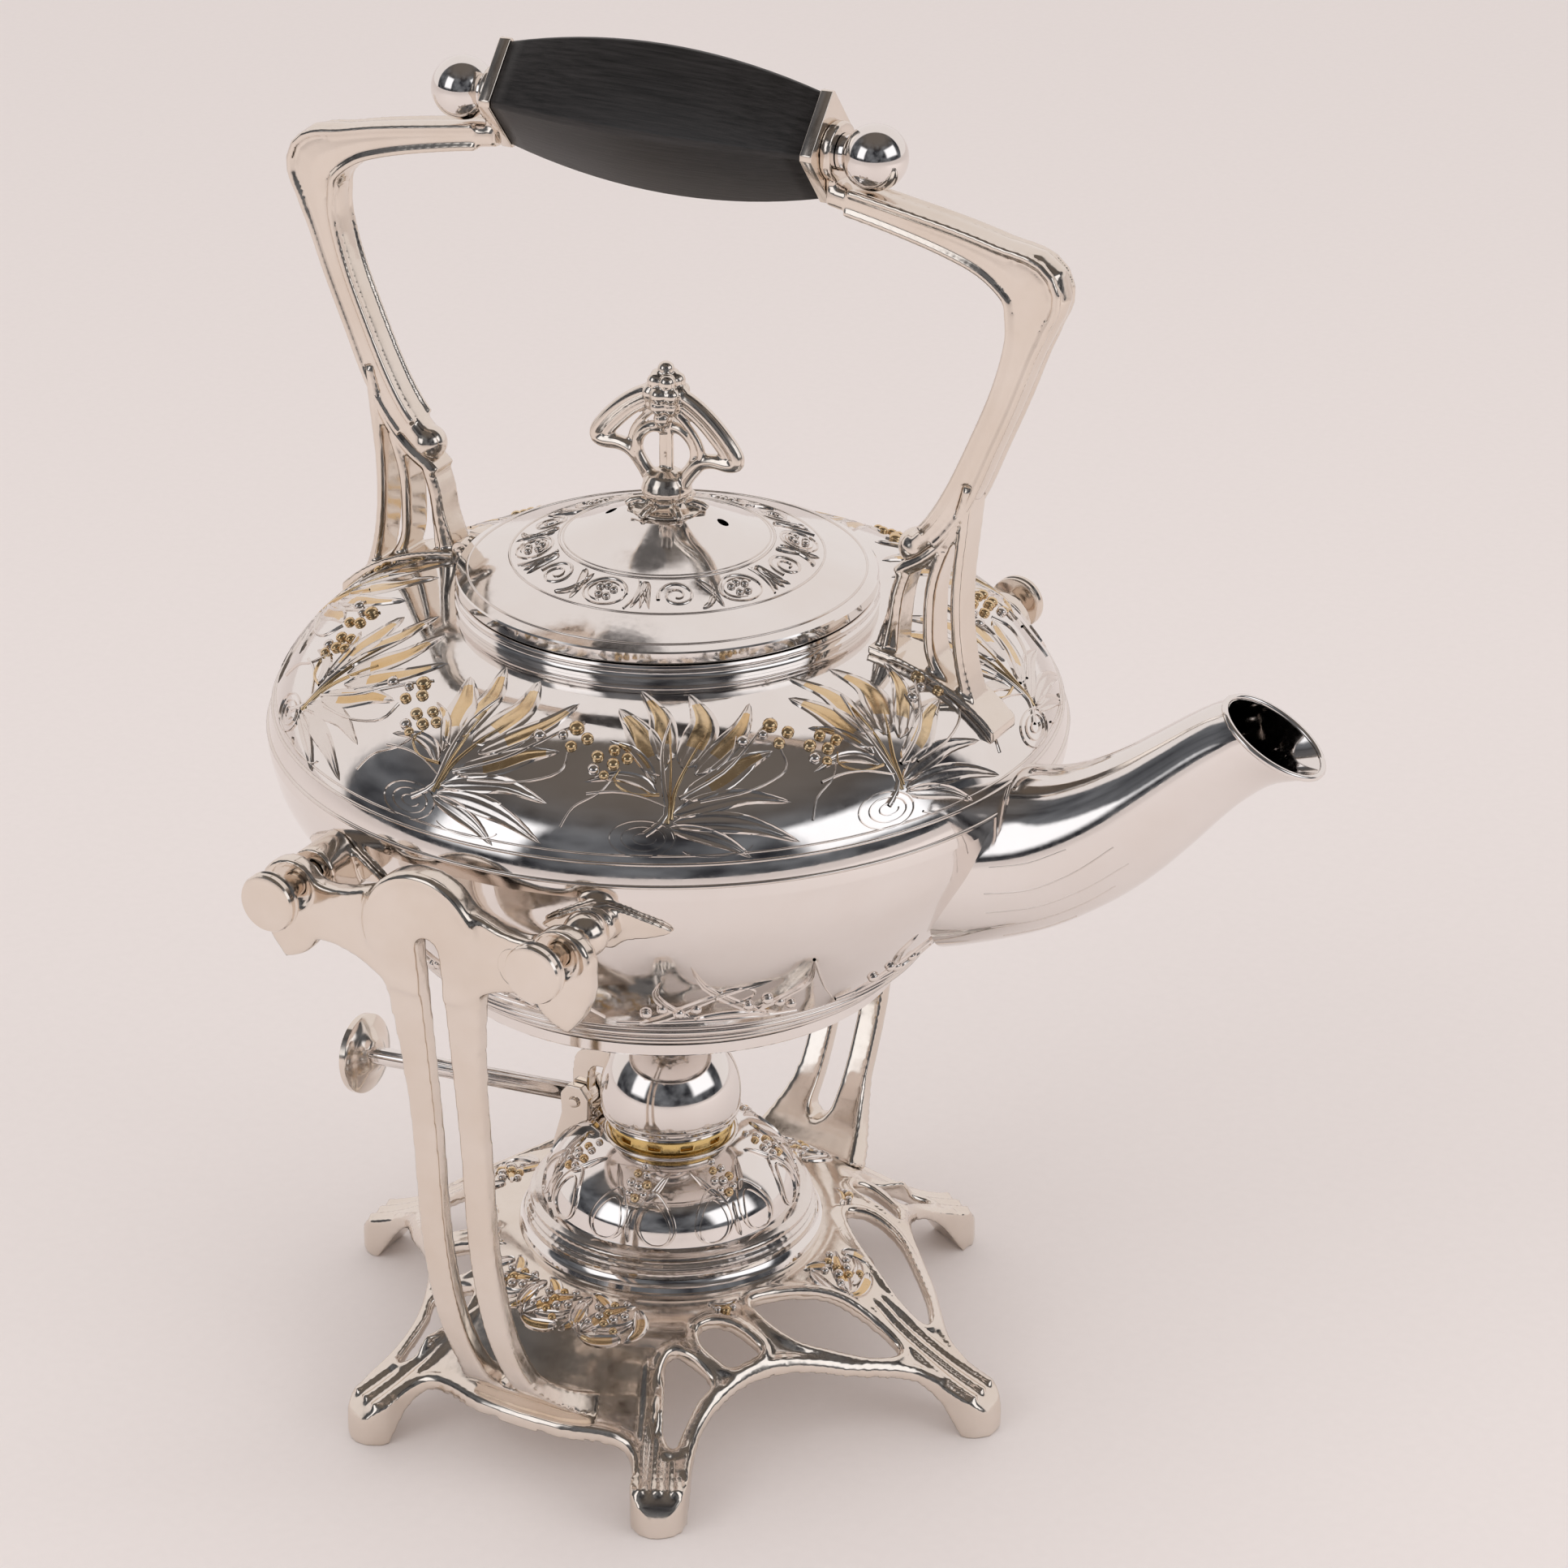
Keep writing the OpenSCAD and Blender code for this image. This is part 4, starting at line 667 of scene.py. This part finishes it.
# The knob is an openwork casting of scrolled leaves with a bunch of berries on top.
SEAT = 231.9
knob_paths = [
    (1.9, 0.0, [(1.5, 30.0), (6, 28.9), (11, 25.8), (15.6, 21.6), (18.9, 17.4), (19.2, 15.2), (17.2, 14.4),
                 (13, 14.6), (9.4, 13.4), (6.6, 10.4), (4.6, 7.4)]),
    (1.3, 0.0, [(1.5, 27.4), (5, 26.4), (9.4, 23.6), (13.4, 19.8), (16, 16.8), (16.6, 15.0)]),
    (1.5, 0.7, [(0, 21.2), (4, 20.6), (7, 17.8), (7.6, 14.2), (5.8, 10.8), (3.4, 8.4)]),
    (1.0, -0.6, [(0.5, 26.5), (4.6, 24), (8.4, 20), (10, 16.4), (9.6, 13.6)]),
    (0.95, 0.0, [(0.9, 7), (1.0, 14), (0.9, 21), (1.2, 27)])]
knob_wires = []
for radius, y, path in knob_paths:
    for way in (-1, 1):
        knob_wires.append(wire("knob_strand", [[(AXIS + way * x / 1000, y * way / 1000, (SEAT + z) / 1000)
                                                for x, z in smooth_line(path, 5)]], radius, 3))
stem_line = [(0.02, 0.1), (8.6, 0.1), (8.2, 0.9), (5.6, 1.2), (4.3, 2.2), (4.4, 3.0), (6.0, 4.2), (6.2, 5.4),
             (5.6, 7.4), (4.6, 9.0), (2.4, 10.4), (0.02, 10.8)]
knob_wires.append(turned("knob_stem", [(r, SEAT + z) for r, z in stem_line], 64))
bunch = [(0, 0, 35.6)] + [
    (2.7 * math.cos(a), 2.7 * math.sin(a), 33.0) for a in [0.3 + math.tau * i / 5 for i in range(5)]] + [
    (3.9 * math.cos(a), 3.6 * math.sin(a), 30.0) for a in [math.tau * i / 8 for i in range(8)]] + [
    (3.0 * math.cos(a), 3.2 * math.sin(a), 27.0) for a in [0.4 + math.tau * i / 6 for i in range(6)]] + [
    (0.8 * math.cos(a), 2.0 * math.sin(a), 23.6) for a in (math.pi / 2, -math.pi / 2)]
for x, y, z in bunch:
    bpy.ops.object.select_all(action="DESELECT")
    bpy.ops.mesh.primitive_uv_sphere_add(segments=20, ring_count=12, radius=0.0021, location=(
        AXIS + x / 1000, y / 1000, (SEAT + z) / 1000))
    knob_wires.append(bpy.context.object)
for i in range(6):
    turn, leaf = math.radians(20 + 60 * i), []
    for r, z in [(4.2, 1.4), (6.5, 2.2), (8.6, 1.6), (9.9, 0.6)]:
        leaf.append((AXIS + r * math.cos(turn) / 1000, r * math.sin(turn) / 1000, (SEAT + z) / 1000))
    knob_wires.append(wire("knob_leaf", [leaf], 1.0, 3))
knob = knob_wires[0]
alone(knob)
for other in knob_wires[1:]:
    other.select_set(True)
bpy.context.view_layer.objects.active = knob
bpy.ops.object.join()
knob.name = "lid_finial_cast"
skin = knob.modifiers.new("skin", "REMESH")
skin.mode, skin.voxel_size = "VOXEL", 0.00036
bpy.ops.object.modifier_apply(modifier="skin")
soften = knob.modifiers.new("soften", "SMOOTH")
soften.factor, soften.iterations = 0.5, 3
bpy.ops.object.modifier_apply(modifier="soften")
bpy.ops.object.transform_apply(location=True, rotation=True, scale=True)
bpy.ops.object.shade_smooth()
finish(knob, "lid", "silver_plate", cast_silver, "lid_finial")


# The stand's base is one casting: a dish with a flat middle, pierced by windows between six feet.
# Raised rims run round the windows and the edge, and three ridges run over each foot.
def ring_line(points, steps):
    count, line = len(points), []
    for i in range(count):
        a, b, c, d = (points[(i + k) % count] for k in (-1, 0, 1, 2))
        for j in range(steps):
            t = j / steps
            line.append(tuple((2 * q + (r - p) * t + (2 * p - 5 * q + 4 * r - s) * t * t
                               + (3 * q - p - 3 * r + s) * t ** 3) / 2 for p, q, r, s in zip(a, b, c, d)))
    return line


WINDOWS = [
    [(29.6, 48.8), (28.9, 54), (31.3, 60.3), (35.6, 65.4), (40, 68.2), (39.7, 62.5), (39.3, 55), (40.4, 50),
     (36.6, 48.8)],
    [(32, 41.2), (33.4, 37.6), (37, 35.8), (42.4, 35.6), (46.6, 36.4), (44.7, 40.6), (42.4, 44), (38.6, 44.6),
     (34.2, 44)],
    [(38, 25.4), (44, 17), (52, 10.6), (60, 7.2), (67.6, 6.2), (70.6, 8.2), (66.8, 14.8), (61.4, 20.1),
     (56.6, 24.2), (51.6, 27.8), (44.4, 28.8)]]


def shape_of(node):
    piece = merged_copy(node, "measure")
    tree = BVHTree.FromObject(piece, bpy.context.evaluated_depsgraph_get())
    bpy.data.objects.remove(piece)
    return tree


def from_above(tree, line, sink=0.3):
    out = []
    for x, y in line:
        hit = tree.ray_cast(Vector((AXIS + x / 1000, y / 1000, 0.2)), Vector((0, 0, -1)))[0]
        if hit:
            out.append((hit.x, hit.y, hit.z - sink / 1000))
    return out


def evened(line, reach=4):
    out = []
    for i in range(len(line)):
        part = line[max(i - reach, 0):i + reach + 1]
        out.append((line[i][0], line[i][1], sum(p[2] for p in part) / len(part)))
    return out


def grown(line, amount):
    count, out = len(line), []
    for i, (x, y) in enumerate(line):
        (x0, y0), (x1, y1) = line[i - 1], line[(i + 1) % count]
        long = math.hypot(x1 - x0, y1 - y0) or 1
        out.append((x + (y1 - y0) / long * amount, y - (x1 - x0) / long * amount))
    return out


def signed_area(line):
    return sum(a[0] * b[1] - b[0] * a[1] for a, b in zip(line, line[1:] + line[:1])) / 2


base_shape = shape_of("stand_base")
rims = []
for window in WINDOWS:
    line = ring_line(window, 5)
    if signed_area(line) < 0:
        line.reverse()
    line = grown(line, 1.3)
    for sx in (1, -1):
        for sy in (1, -1):
            rim = from_above(base_shape, [(sx * x, sy * y) for x, y in line])
            if len(rim) > 8:
                rims.append(evened(rim, 2))
extras = [wire("window_rims", rims, 1.25, 2, True)]
quarter = smooth_line([(0, 76.6), (12, 75.8), (21, 73.4), (27, 72.4), (31, 73.6), (33.6, 77)], 4)
side = smooth_line([(46.8, 71.8), (44.3, 64.5), (43.3, 57), (44.6, 50), (47.6, 42.8), (52.4, 35.6),
                    (59.4, 28.2), (65.8, 22), (71.6, 14.8), (76.5, 9.4), (82, 7.2)], 4)
edges = []
for sx in (1, -1):
    for sy in (1, -1):
        for line, amount in ((quarter, 1.6), (side, 1.6)):
            edges.append(from_above(base_shape, [(sx * x, sy * y) for x, y in
                                                 [p[:2] for p in beside([q + (0,) for q in line], 0, -amount)]]))
ridges = []
for turn in (0, 62, 118, 180, 242, 298):
    a = math.radians(turn)
    for off in (-4.2, 0, 4.2):
        line = []
        for i in range(24):
            r, o = 58 + 33 * i / 23, off * (0.75 + 0.3 * i / 23)
            line.append((r * math.cos(a) - o * math.sin(a), r * math.sin(a) + o * math.cos(a)))
        ridges.append(evened(from_above(base_shape, line, 0.1), 2))
extras.append(wire("edge_rims", [e for e in edges if len(e) > 4], 1.1))
extras.append(wire("foot_ridges", [r for r in ridges if len(r) > 4], 1.0))
cast_piece("stand_base", "stand", 0.72, extras, 4)

# Leaves and berries in relief ring the middle of the base where the lamp stands, lightly gilt.
base_line = smooth_line([(42, 35.5), (50, 34.2), (57, 30.7), (67, 22.6)], 6)[::-1]
base_place = on_turned(base_line)
hub_leaves = [([(-6, 15), (-3, 19), (1, 22.6), (7, 25.6)], 2.6, 1),
              ([(5, 15), (2, 13.8), (-3, 13.2), (-7, 14.6)], 2.0, 1),
              ([(-8, 26), (-9.6, 22), (-9.2, 17.6), (-6, 14)], 2.0, 0),
              ([(8, 24), (9.6, 20), (9, 16.6), (6, 13.8)], 2.2, 1),
              ([(0, 23), (-3, 25.4), (-6, 27), (-9, 27.6)], 1.8, 1), ([(-3, 16), (1, 16.6), (5, 18), (8, 21)], 1.8, 0)]
hub_berries = [(-2.6, 20.4, 1.3, 0), (-0.4, 22, 1.2, 1), (1.6, 20.2, 1.3, 0), (-0.6, 18.4, 1.2, 1),
               (4.6, 21.6, 1.2, 0),
               (-5, 18.2, 1.1, 0), (0.4, 25, 1.1, 1), (4, 26, 1.1, 0), (2.6, 16.6, 1.1, 1), (-4.4, 23.6, 1.1, 0)]
hub = chased("base_hub_relief", base_place, hub_leaves, [], hub_berries,
             [0, 180, -78, -96, -114, 78, 96, 114], 0.55)
finish(hub, "stand", "silver_plate", (chased_silver, gilt))
small = chased("base_small_relief", base_place, [([(-5, 26.6), (-2, 25), (2, 25), (5, 26.6)], 1.1, 1)], [],
               [(0, 23.4, 1.2, 1), (-2.4, 24, 1.0, 0), (2.4, 24, 1.0, 0)], [43, 137, -43, -137], 0.5)
finish(small, "stand", "silver_plate", (chased_silver, gilt))

nodes["foot_rivets"].data.materials.clear()
nodes["foot_rivets"].data.materials.append(cast_silver)


# Each upright is a cast strap of two legs that part round a slot and spread into two pin arms.
# A thin raised cord runs over the arch at the top, and an oval is engraved by the front pin.
for side, way in (("near", -1), ("far", 1)):
    node = side + "_upright"
    shape = shape_of(node)
    arch = [(14.2 * math.cos(math.radians(a)), 167 + 14.0 * math.sin(math.radians(a)))
            for a in range(20, 161, 6)]
    oval = [(25 + 4.4 * math.cos(math.radians(a)), 164.5 + 4.8 * math.sin(math.radians(a)))
            for a in range(0, 360, 15)]
    extras = [wire(side + "_arch_cord", [from_side(shape, arch, way, 0.1)], 0.9)]
    cast_piece(node, "stand", 0.7, extras, 7, 0.6)
    mark = wire(side + "_oval_engraving", [from_side(shape, oval, way, 0.14)], 0.22, 1, True)
    finish(mark, "stand", "silver_plate", cast_silver)


# Four pins lock the kettle in the stand; each has a turned, nearly flat head to pull it out by,
# with a groove round its edge where it is gripped.
PIN_X, PIN_Z = 35.7, 0.1701
pin_line = [(0.02, 94.5), (2.6, 94.5), (2.8, 94.7), (2.8, 118.0), (3.6, 118.4), (6.2, 118.4), (7.0, 118.8),
            (7.1, 119.4), (6.7, 119.8), (6.7, 120.1), (7.1, 120.5), (7.1, 121.5), (6.8, 122.0), (6.2, 122.2),
            (4.2, 122.34), (0.02, 122.4)]
for side, way in (("near", -1), ("far", 1)):
    for end, x in (("front", PIN_X), ("rear", -PIN_X)):
        pin = spun(side + "_" + end + "_pin_turned",
                   [(AXIS + (x + r) / 1000, way * y / 1000, PIN_Z) for r, y in pin_line],
                   (AXIS + x / 1000, 0, PIN_Z), (0, 1, 0), 64, 30, False, 3e-5)
        finish(pin, side + "_" + end + "_pin_body", "silver_plate", cast_silver, side + "_" + end + "_pin")


# The spirit lamp sits in a turned ring on the base. It is spun, with a reeded foot.
seat = turned("lamp_seat_turned", [(32, 35.5), (39.2, 35.5), (39.3, 35.9), (38.9, 37), (38.2, 37.4), (37.6, 38.5),
                                   (32, 38.5)])
finish(seat, "stand", "silver_plate", spun_silver, "lamp_seat")
ring_outline = smooth_line([(37.3, 38.6), (37.3, 39.9), (36.5, 40.5), (37.0, 41.6), (36.2, 42.4), (36.5, 43.7),
                            (35.6, 44.4)], 3)
foot = turned("lamp_foot_reeded",
              [(30, 38.5), (37.1, 38.5)] + ring_outline + [(34.9, 45), (33, 45), (30, 42)], 288)
for vertex in foot.data.vertices:
    x, y, z = vertex.co
    r = math.hypot(x - AXIS, y)
    if r > 0.0355 and 0.0388 < z < 0.0438:
        k = 1 - 0.00012 * (1 - abs(math.sin(48 * math.atan2(y, x - AXIS) + (z - 0.04) * 500))) / r
        vertex.co.x, vertex.co.y = AXIS + (x - AXIS) * k, y * k
finish(foot, "stand", "silver_plate", chased_silver, "lamp_base_ring")
bulb_line = smooth_line([(33, 45), (32.4, 47.5), (31.5, 50.5), (29.4, 53.8), (26.2, 56.7), (21.8, 59.5),
                         (17.6, 61.2), (14, 62)], 5)
bulb = turned("lamp_bulb_spun", [(29.8, 38.6), (30, 42)] + bulb_line + [(9, 62), (9, 60.8), (14, 60.8)]
              + [(r - 1.2, z - 0.72) for r, z in bulb_line[-2:1:-1]] + [(28.8, 42.6), (28.8, 39.8), (0.02, 39.8),
                                                                        (0.02, 38.6)])
finish(bulb, "stand", "silver_plate", spun_silver, "lamp_reservoir")

bulb_place = on_turned(bulb_line)


def teardrop(u, lean, top, half):
    line = []
    for i in range(25):
        a = math.tau * i / 24
        wide = half * math.sin(a) * (0.55 + 0.45 * (1 - math.cos(a)) / 2)
        line.append((u + wide + lean * (1 + math.cos(a)) / 2, 0.6 + (top - 0.6) * (1 + math.cos(a)) / 2))
    return line


drops = []
for u, lean in ((-12.8, 3), (12.8, -3)):
    drops += [(teardrop(u, lean, 14.5, 11.4), 0.6, 0), (teardrop(u, lean * 0.8, 11.6, 8.6), 0.45, 0)]
drop_berries = [(-4, 13.6, 1.1, 0), (0, 12.4, 1.2, 1), (4, 13.6, 1.1, 0), (-5, 16.4, 1.2, 0), (0, 15.8, 1.3, 0),
                (5, 16.4, 1.2, 1), (-3, 19.2, 1.1, 1), (3.2, 19.2, 1.1, 0), (0, 22, 1.0, 0)]
drop_leaves = [([(-6, 12), (-11, 15), (-15, 18), (-20, 20.5)], 1.0, 0),
               ([(6, 12), (11, 15), (15, 18), (20, 20.5)], 1.0, 0), ([(0, 1), (-1, 5), (0, 10)], 0.8, 0)]
lamp_relief = chased("lamp_bulb_relief", bulb_place, drop_leaves, drops, drop_berries,
                     [-79 + 51.43 * i for i in range(7)], 0.55)
finish(lamp_relief, "stand", "silver_plate", (chased_silver, gilt))
finish(bead("lamp_collar_bead", bulb_place, 24.6, 0.6), "stand", "silver_plate", chased_silver)


# The wick holder is gilded brass, notched round its edge; the wick is plaited cotton, trimmed flat.
# The hollows of the brass darken towards #7A5A2C: part tarnish, part painted shade.
gilded_brass = plated_metal("gilded_brass", "#F2DBA4", "#DDB767", 0.16, 0.32, 2.0, 0.2, "#7A5A2C")
for node in ("lamp_neck", "wick_tube"):
    filed_copy(node, "stand", "gilt_brass", gilded_brass, 0.12)
cotton, tree = new_material("plaited_cotton_wick")
place = add_node(tree, "ShaderNodeTexCoord").outputs["Object"]
plait = add_node(tree, "ShaderNodeTexWave", {"wave_type": "BANDS", "bands_direction": "DIAGONAL",
                                             "Scale": 1000 / 9, "Distortion": 2.0, "Detail": 2}, Vector=place)
yarn = add_node(tree, "ShaderNodeMix", {"data_type": "RGBA"}, _0=plait.outputs["Fac"])
yarn.inputs[6].default_value, yarn.inputs[7].default_value = linear("#B9AE9A"), linear("#E6DECC")
fluff = add_node(tree, "ShaderNodeBump", {"Strength": 0.6, "Distance": 0.0003}, Height=plait.outputs["Fac"])
thread = add_node(tree, "ShaderNodeBsdfPrincipled", {"Roughness": 0.9}, Base_Color=yarn.outputs[2],
                  Normal=fluff.outputs["Normal"])
add_node(tree, "ShaderNodeOutputMaterial", Surface=thread.outputs["BSDF"])
nodes["wick"].data.materials.clear()
nodes["wick"].data.materials.append(cotton)


# The snuffer is a spun ball cap on a strap and a long lever with a dished thumb disc.
# It swings on a pin through a small forked bracket on the lamp.
cast_piece("lamp_hinge_bracket", "stand", 0.3, (), 2)
filed_copy("cap_hinge_pin", "stand", bevel=0.15)
cap_outside = [(18 * math.cos(a), 72.6 + 18 * math.sin(a)) for a in
               [math.asin(-6.3 / 18) + (math.pi / 2 - math.asin(-6.3 / 18)) * i / 30 for i in range(31)]]
cap_inside = [(16.3 * math.cos(a), 72.6 + 16.3 * math.sin(a)) for a in
              [math.asin(-6.3 / 16.3) + (math.pi / 2 - math.asin(-6.3 / 16.3)) * i / 24 for i in range(25)]]
cap_outside[-1], cap_inside[-1] = (0.02, 90.6), (0.02, 88.9)
cap = turned("snuffer_cap_spun", cap_outside + cap_inside[::-1], 128)
finish(cap, "snuffer", "silver_plate", spun_silver, "snuffer_cap")
cap_band = wire("snuffer_cap_lines", [[(AXIS + r * math.cos(a) / 1000, r * math.sin(a) / 1000, z / 1000)
                                       for a in [math.tau * i / 96 for i in range(96)]]
                                      for r, z in ((17.1, 67.4), (17.55, 69.0))], 0.35, 1, True)
finish(cap_band, "snuffer", "silver_plate", chased_silver)
cast_piece("cap_strap", "snuffer", 0.3, (), 2)
filed_copy("lever_rod", "snuffer", material=spun_silver, bevel=0.0, sharp=40)
PIVOT_X, PIVOT_Z, DISC_X, DISC_Z = 25.8, 64, 93.5, 57.7
tilt = math.atan((PIVOT_Z - DISC_Z) / (DISC_X - PIVOT_X))
disc_line = [(0.02, 3.4), (3.2, 3.4), (4.4, 3.0), (4.8, 2.6), (7.6, 1.5), (10.3, 0.7), (10.7, 0.3), (10.7, -1.3),
             (10.4, -1.6), (9.6, -1.6), (9.2, -1.2), (8.2, 0.0), (7.0, 0.5), (4.6, 1.4), (4.2, 1.2), (3.6, 0.9),
             (2.6, 1.0), (0.02, 1.6)]
disc = spun("lever_disc_turned", [
    (AXIS + (-DISC_X + t * math.cos(tilt) - r * math.sin(tilt)) / 1000, 0,
     (DISC_Z + t * math.sin(tilt) + r * math.cos(tilt)) / 1000) for r, t in disc_line],
    (AXIS - 0.0935, 0, 0.0577), (math.cos(tilt), 0, math.sin(tilt)), 72, 30, False, 3e-5)
finish(disc, "snuffer", "silver_plate", cast_silver, "lever_disc")


# The studio is a pale table under broad soft windows, with the dim side of the room behind the camera.
bpy.ops.object.select_all(action="DESELECT")
bpy.ops.mesh.primitive_plane_add(size=40, location=(0, 0, 0))
table = bpy.context.object
table.name = "table_floor"
paper, tree = new_material("pale_paper_sweep")
place = add_node(tree, "ShaderNodeTexCoord").outputs["Object"]
fibre = add_node(tree, "ShaderNodeTexNoise", {"Scale": 1000 / 3, "Detail": 3}, Vector=place)
tone = add_node(tree, "ShaderNodeMix", {"data_type": "RGBA"}, _0=fibre.outputs["Fac"])
tone.inputs[6].default_value, tone.inputs[7].default_value = linear("#EEE8E6"), linear("#F2ECEA")
matt = add_node(tree, "ShaderNodeBsdfPrincipled", {"Roughness": 0.7}, Base_Color=tone.outputs[2])
add_node(tree, "ShaderNodeOutputMaterial", Surface=matt.outputs["BSDF"])
table.data.materials.append(paper)

world = bpy.context.scene.world or bpy.data.worlds.new("studio")
bpy.context.scene.world = world
world.use_nodes = True
tree = world.node_tree
tree.nodes.clear()
way = add_node(tree, "ShaderNodeTexCoord").outputs["Generated"]
mirror = add_node(tree, "ShaderNodeLightPath").outputs["Is Glossy Ray"]


def facing(direction, low, high, absolute=False):
    dot = add_node(tree, "ShaderNodeVectorMath", {"operation": "DOT_PRODUCT"}, _0=way)
    dot.inputs[1].default_value = direction
    value = dot.outputs["Value"]
    if absolute:
        value = add_node(tree, "ShaderNodeMath", {"operation": "ABSOLUTE"}, _0=value).outputs["Value"]
    step = add_node(tree, "ShaderNodeMapRange", {"From Min": low, "From Max": high, "To Min": 0.0, "To Max": 1.0,
                                                 "interpolation_type": "SMOOTHSTEP"}, Value=value)
    return step.outputs["Result"]


def times(a, b):
    return add_node(tree, "ShaderNodeMath", {"operation": "MULTIPLY"}, _0=a, _1=b).outputs["Value"]


def tinted(share, under, over):
    mix = add_node(tree, "ShaderNodeMix", {"data_type": "RGBA"}, _0=share)
    for socket, colour in ((6, under), (7, over)):
        if isinstance(colour, list):
            mix.inputs[socket].default_value = colour
        else:
            tree.links.new(colour, mix.inputs[socket])
    return mix.outputs[2]


blotch = add_node(tree, "ShaderNodeTexNoise", {"Scale": 2.6, "Detail": 2.5, "Roughness": 0.55}, Vector=way)
uneven = add_node(tree, "ShaderNodeMapRange", {"From Min": 0.38, "From Max": 0.66}, Value=blotch.outputs["Fac"])
dark_side = tinted(uneven.outputs["Result"], linear("#2A2B30"), linear("#74777C"))
dark_side = tinted(facing((0, 0, 1), 0.55, 1.0), dark_side, linear("#6B645E"))
sky = tinted(times(facing((0.469, -0.883, 0.25), -0.16, -0.09), mirror), linear("#F1EBE9"), dark_side)
for turn, rise, wide, high in ((-115, 24, 12, 16), (0, 26, 19, 13)):
    a, e = math.radians(turn), math.radians(rise)
    front = (math.cos(e) * math.cos(a), math.cos(e) * math.sin(a), math.sin(e))
    aside = (-math.sin(a), math.cos(a), 0)
    up = (-math.sin(e) * math.cos(a), -math.sin(e) * math.sin(a), math.cos(e))
    pane = facing(front, 0.4, 0.5)
    for direction, half in ((aside, wide), (up, high)):
        edge = math.sin(math.radians(half))
        pane = times(pane, facing(direction, edge * 1.25, edge * 0.85, True))
    sky = tinted(times(pane, mirror), sky, [1.25, 1.27, 1.32, 1])
glow = add_node(tree, "ShaderNodeBackground", {"Strength": 0.95}, Color=sky)
add_node(tree, "ShaderNodeOutputWorld", Surface=glow.outputs["Background"])


def soft_window(name, place, size, watts):
    lamp = bpy.data.lights.new(name, "AREA")
    lamp.shape, lamp.size, lamp.size_y, lamp.energy = "RECTANGLE", size[0], size[1], watts
    holder = bpy.data.objects.new(name, lamp)
    bpy.context.scene.collection.objects.link(holder)
    holder.location = place
    holder.rotation_mode = "QUATERNION"
    holder.rotation_quaternion = (Vector((AXIS, 0, 0.18)) - Vector(place)).to_track_quat("-Z", "Y")
    holder.visible_glossy = False


soft_window("window_left", (AXIS - 0.53, -1.11, 1.05), (0.8, 0.7), 3.0)
soft_window("window_right", (AXIS + 1.395, 0.15, 0.72), (1.1, 0.6), 3.6)

camera = bpy.data.objects.new("camera", bpy.data.cameras.new("camera"))
bpy.context.scene.collection.objects.link(camera)
bpy.context.scene.camera = camera
camera.data.lens, camera.data.sensor_width = 108.316, 36
camera.data.shift_x, camera.data.shift_y = 0.0736, -0.0005
camera.data.clip_start, camera.data.clip_end = 0.05, 50
eye, target = Vector((0.49925, -0.90795, 0.65804)), Vector((AXIS, 0, 0.15881))
camera.location = eye
turn = (target - eye).to_track_quat("-Z", "Y").to_matrix() @ Matrix.Rotation(math.radians(-0.357), 3, "Z")
camera.rotation_euler = turn.to_euler()

bpy.context.scene.view_settings.view_transform = "Standard"
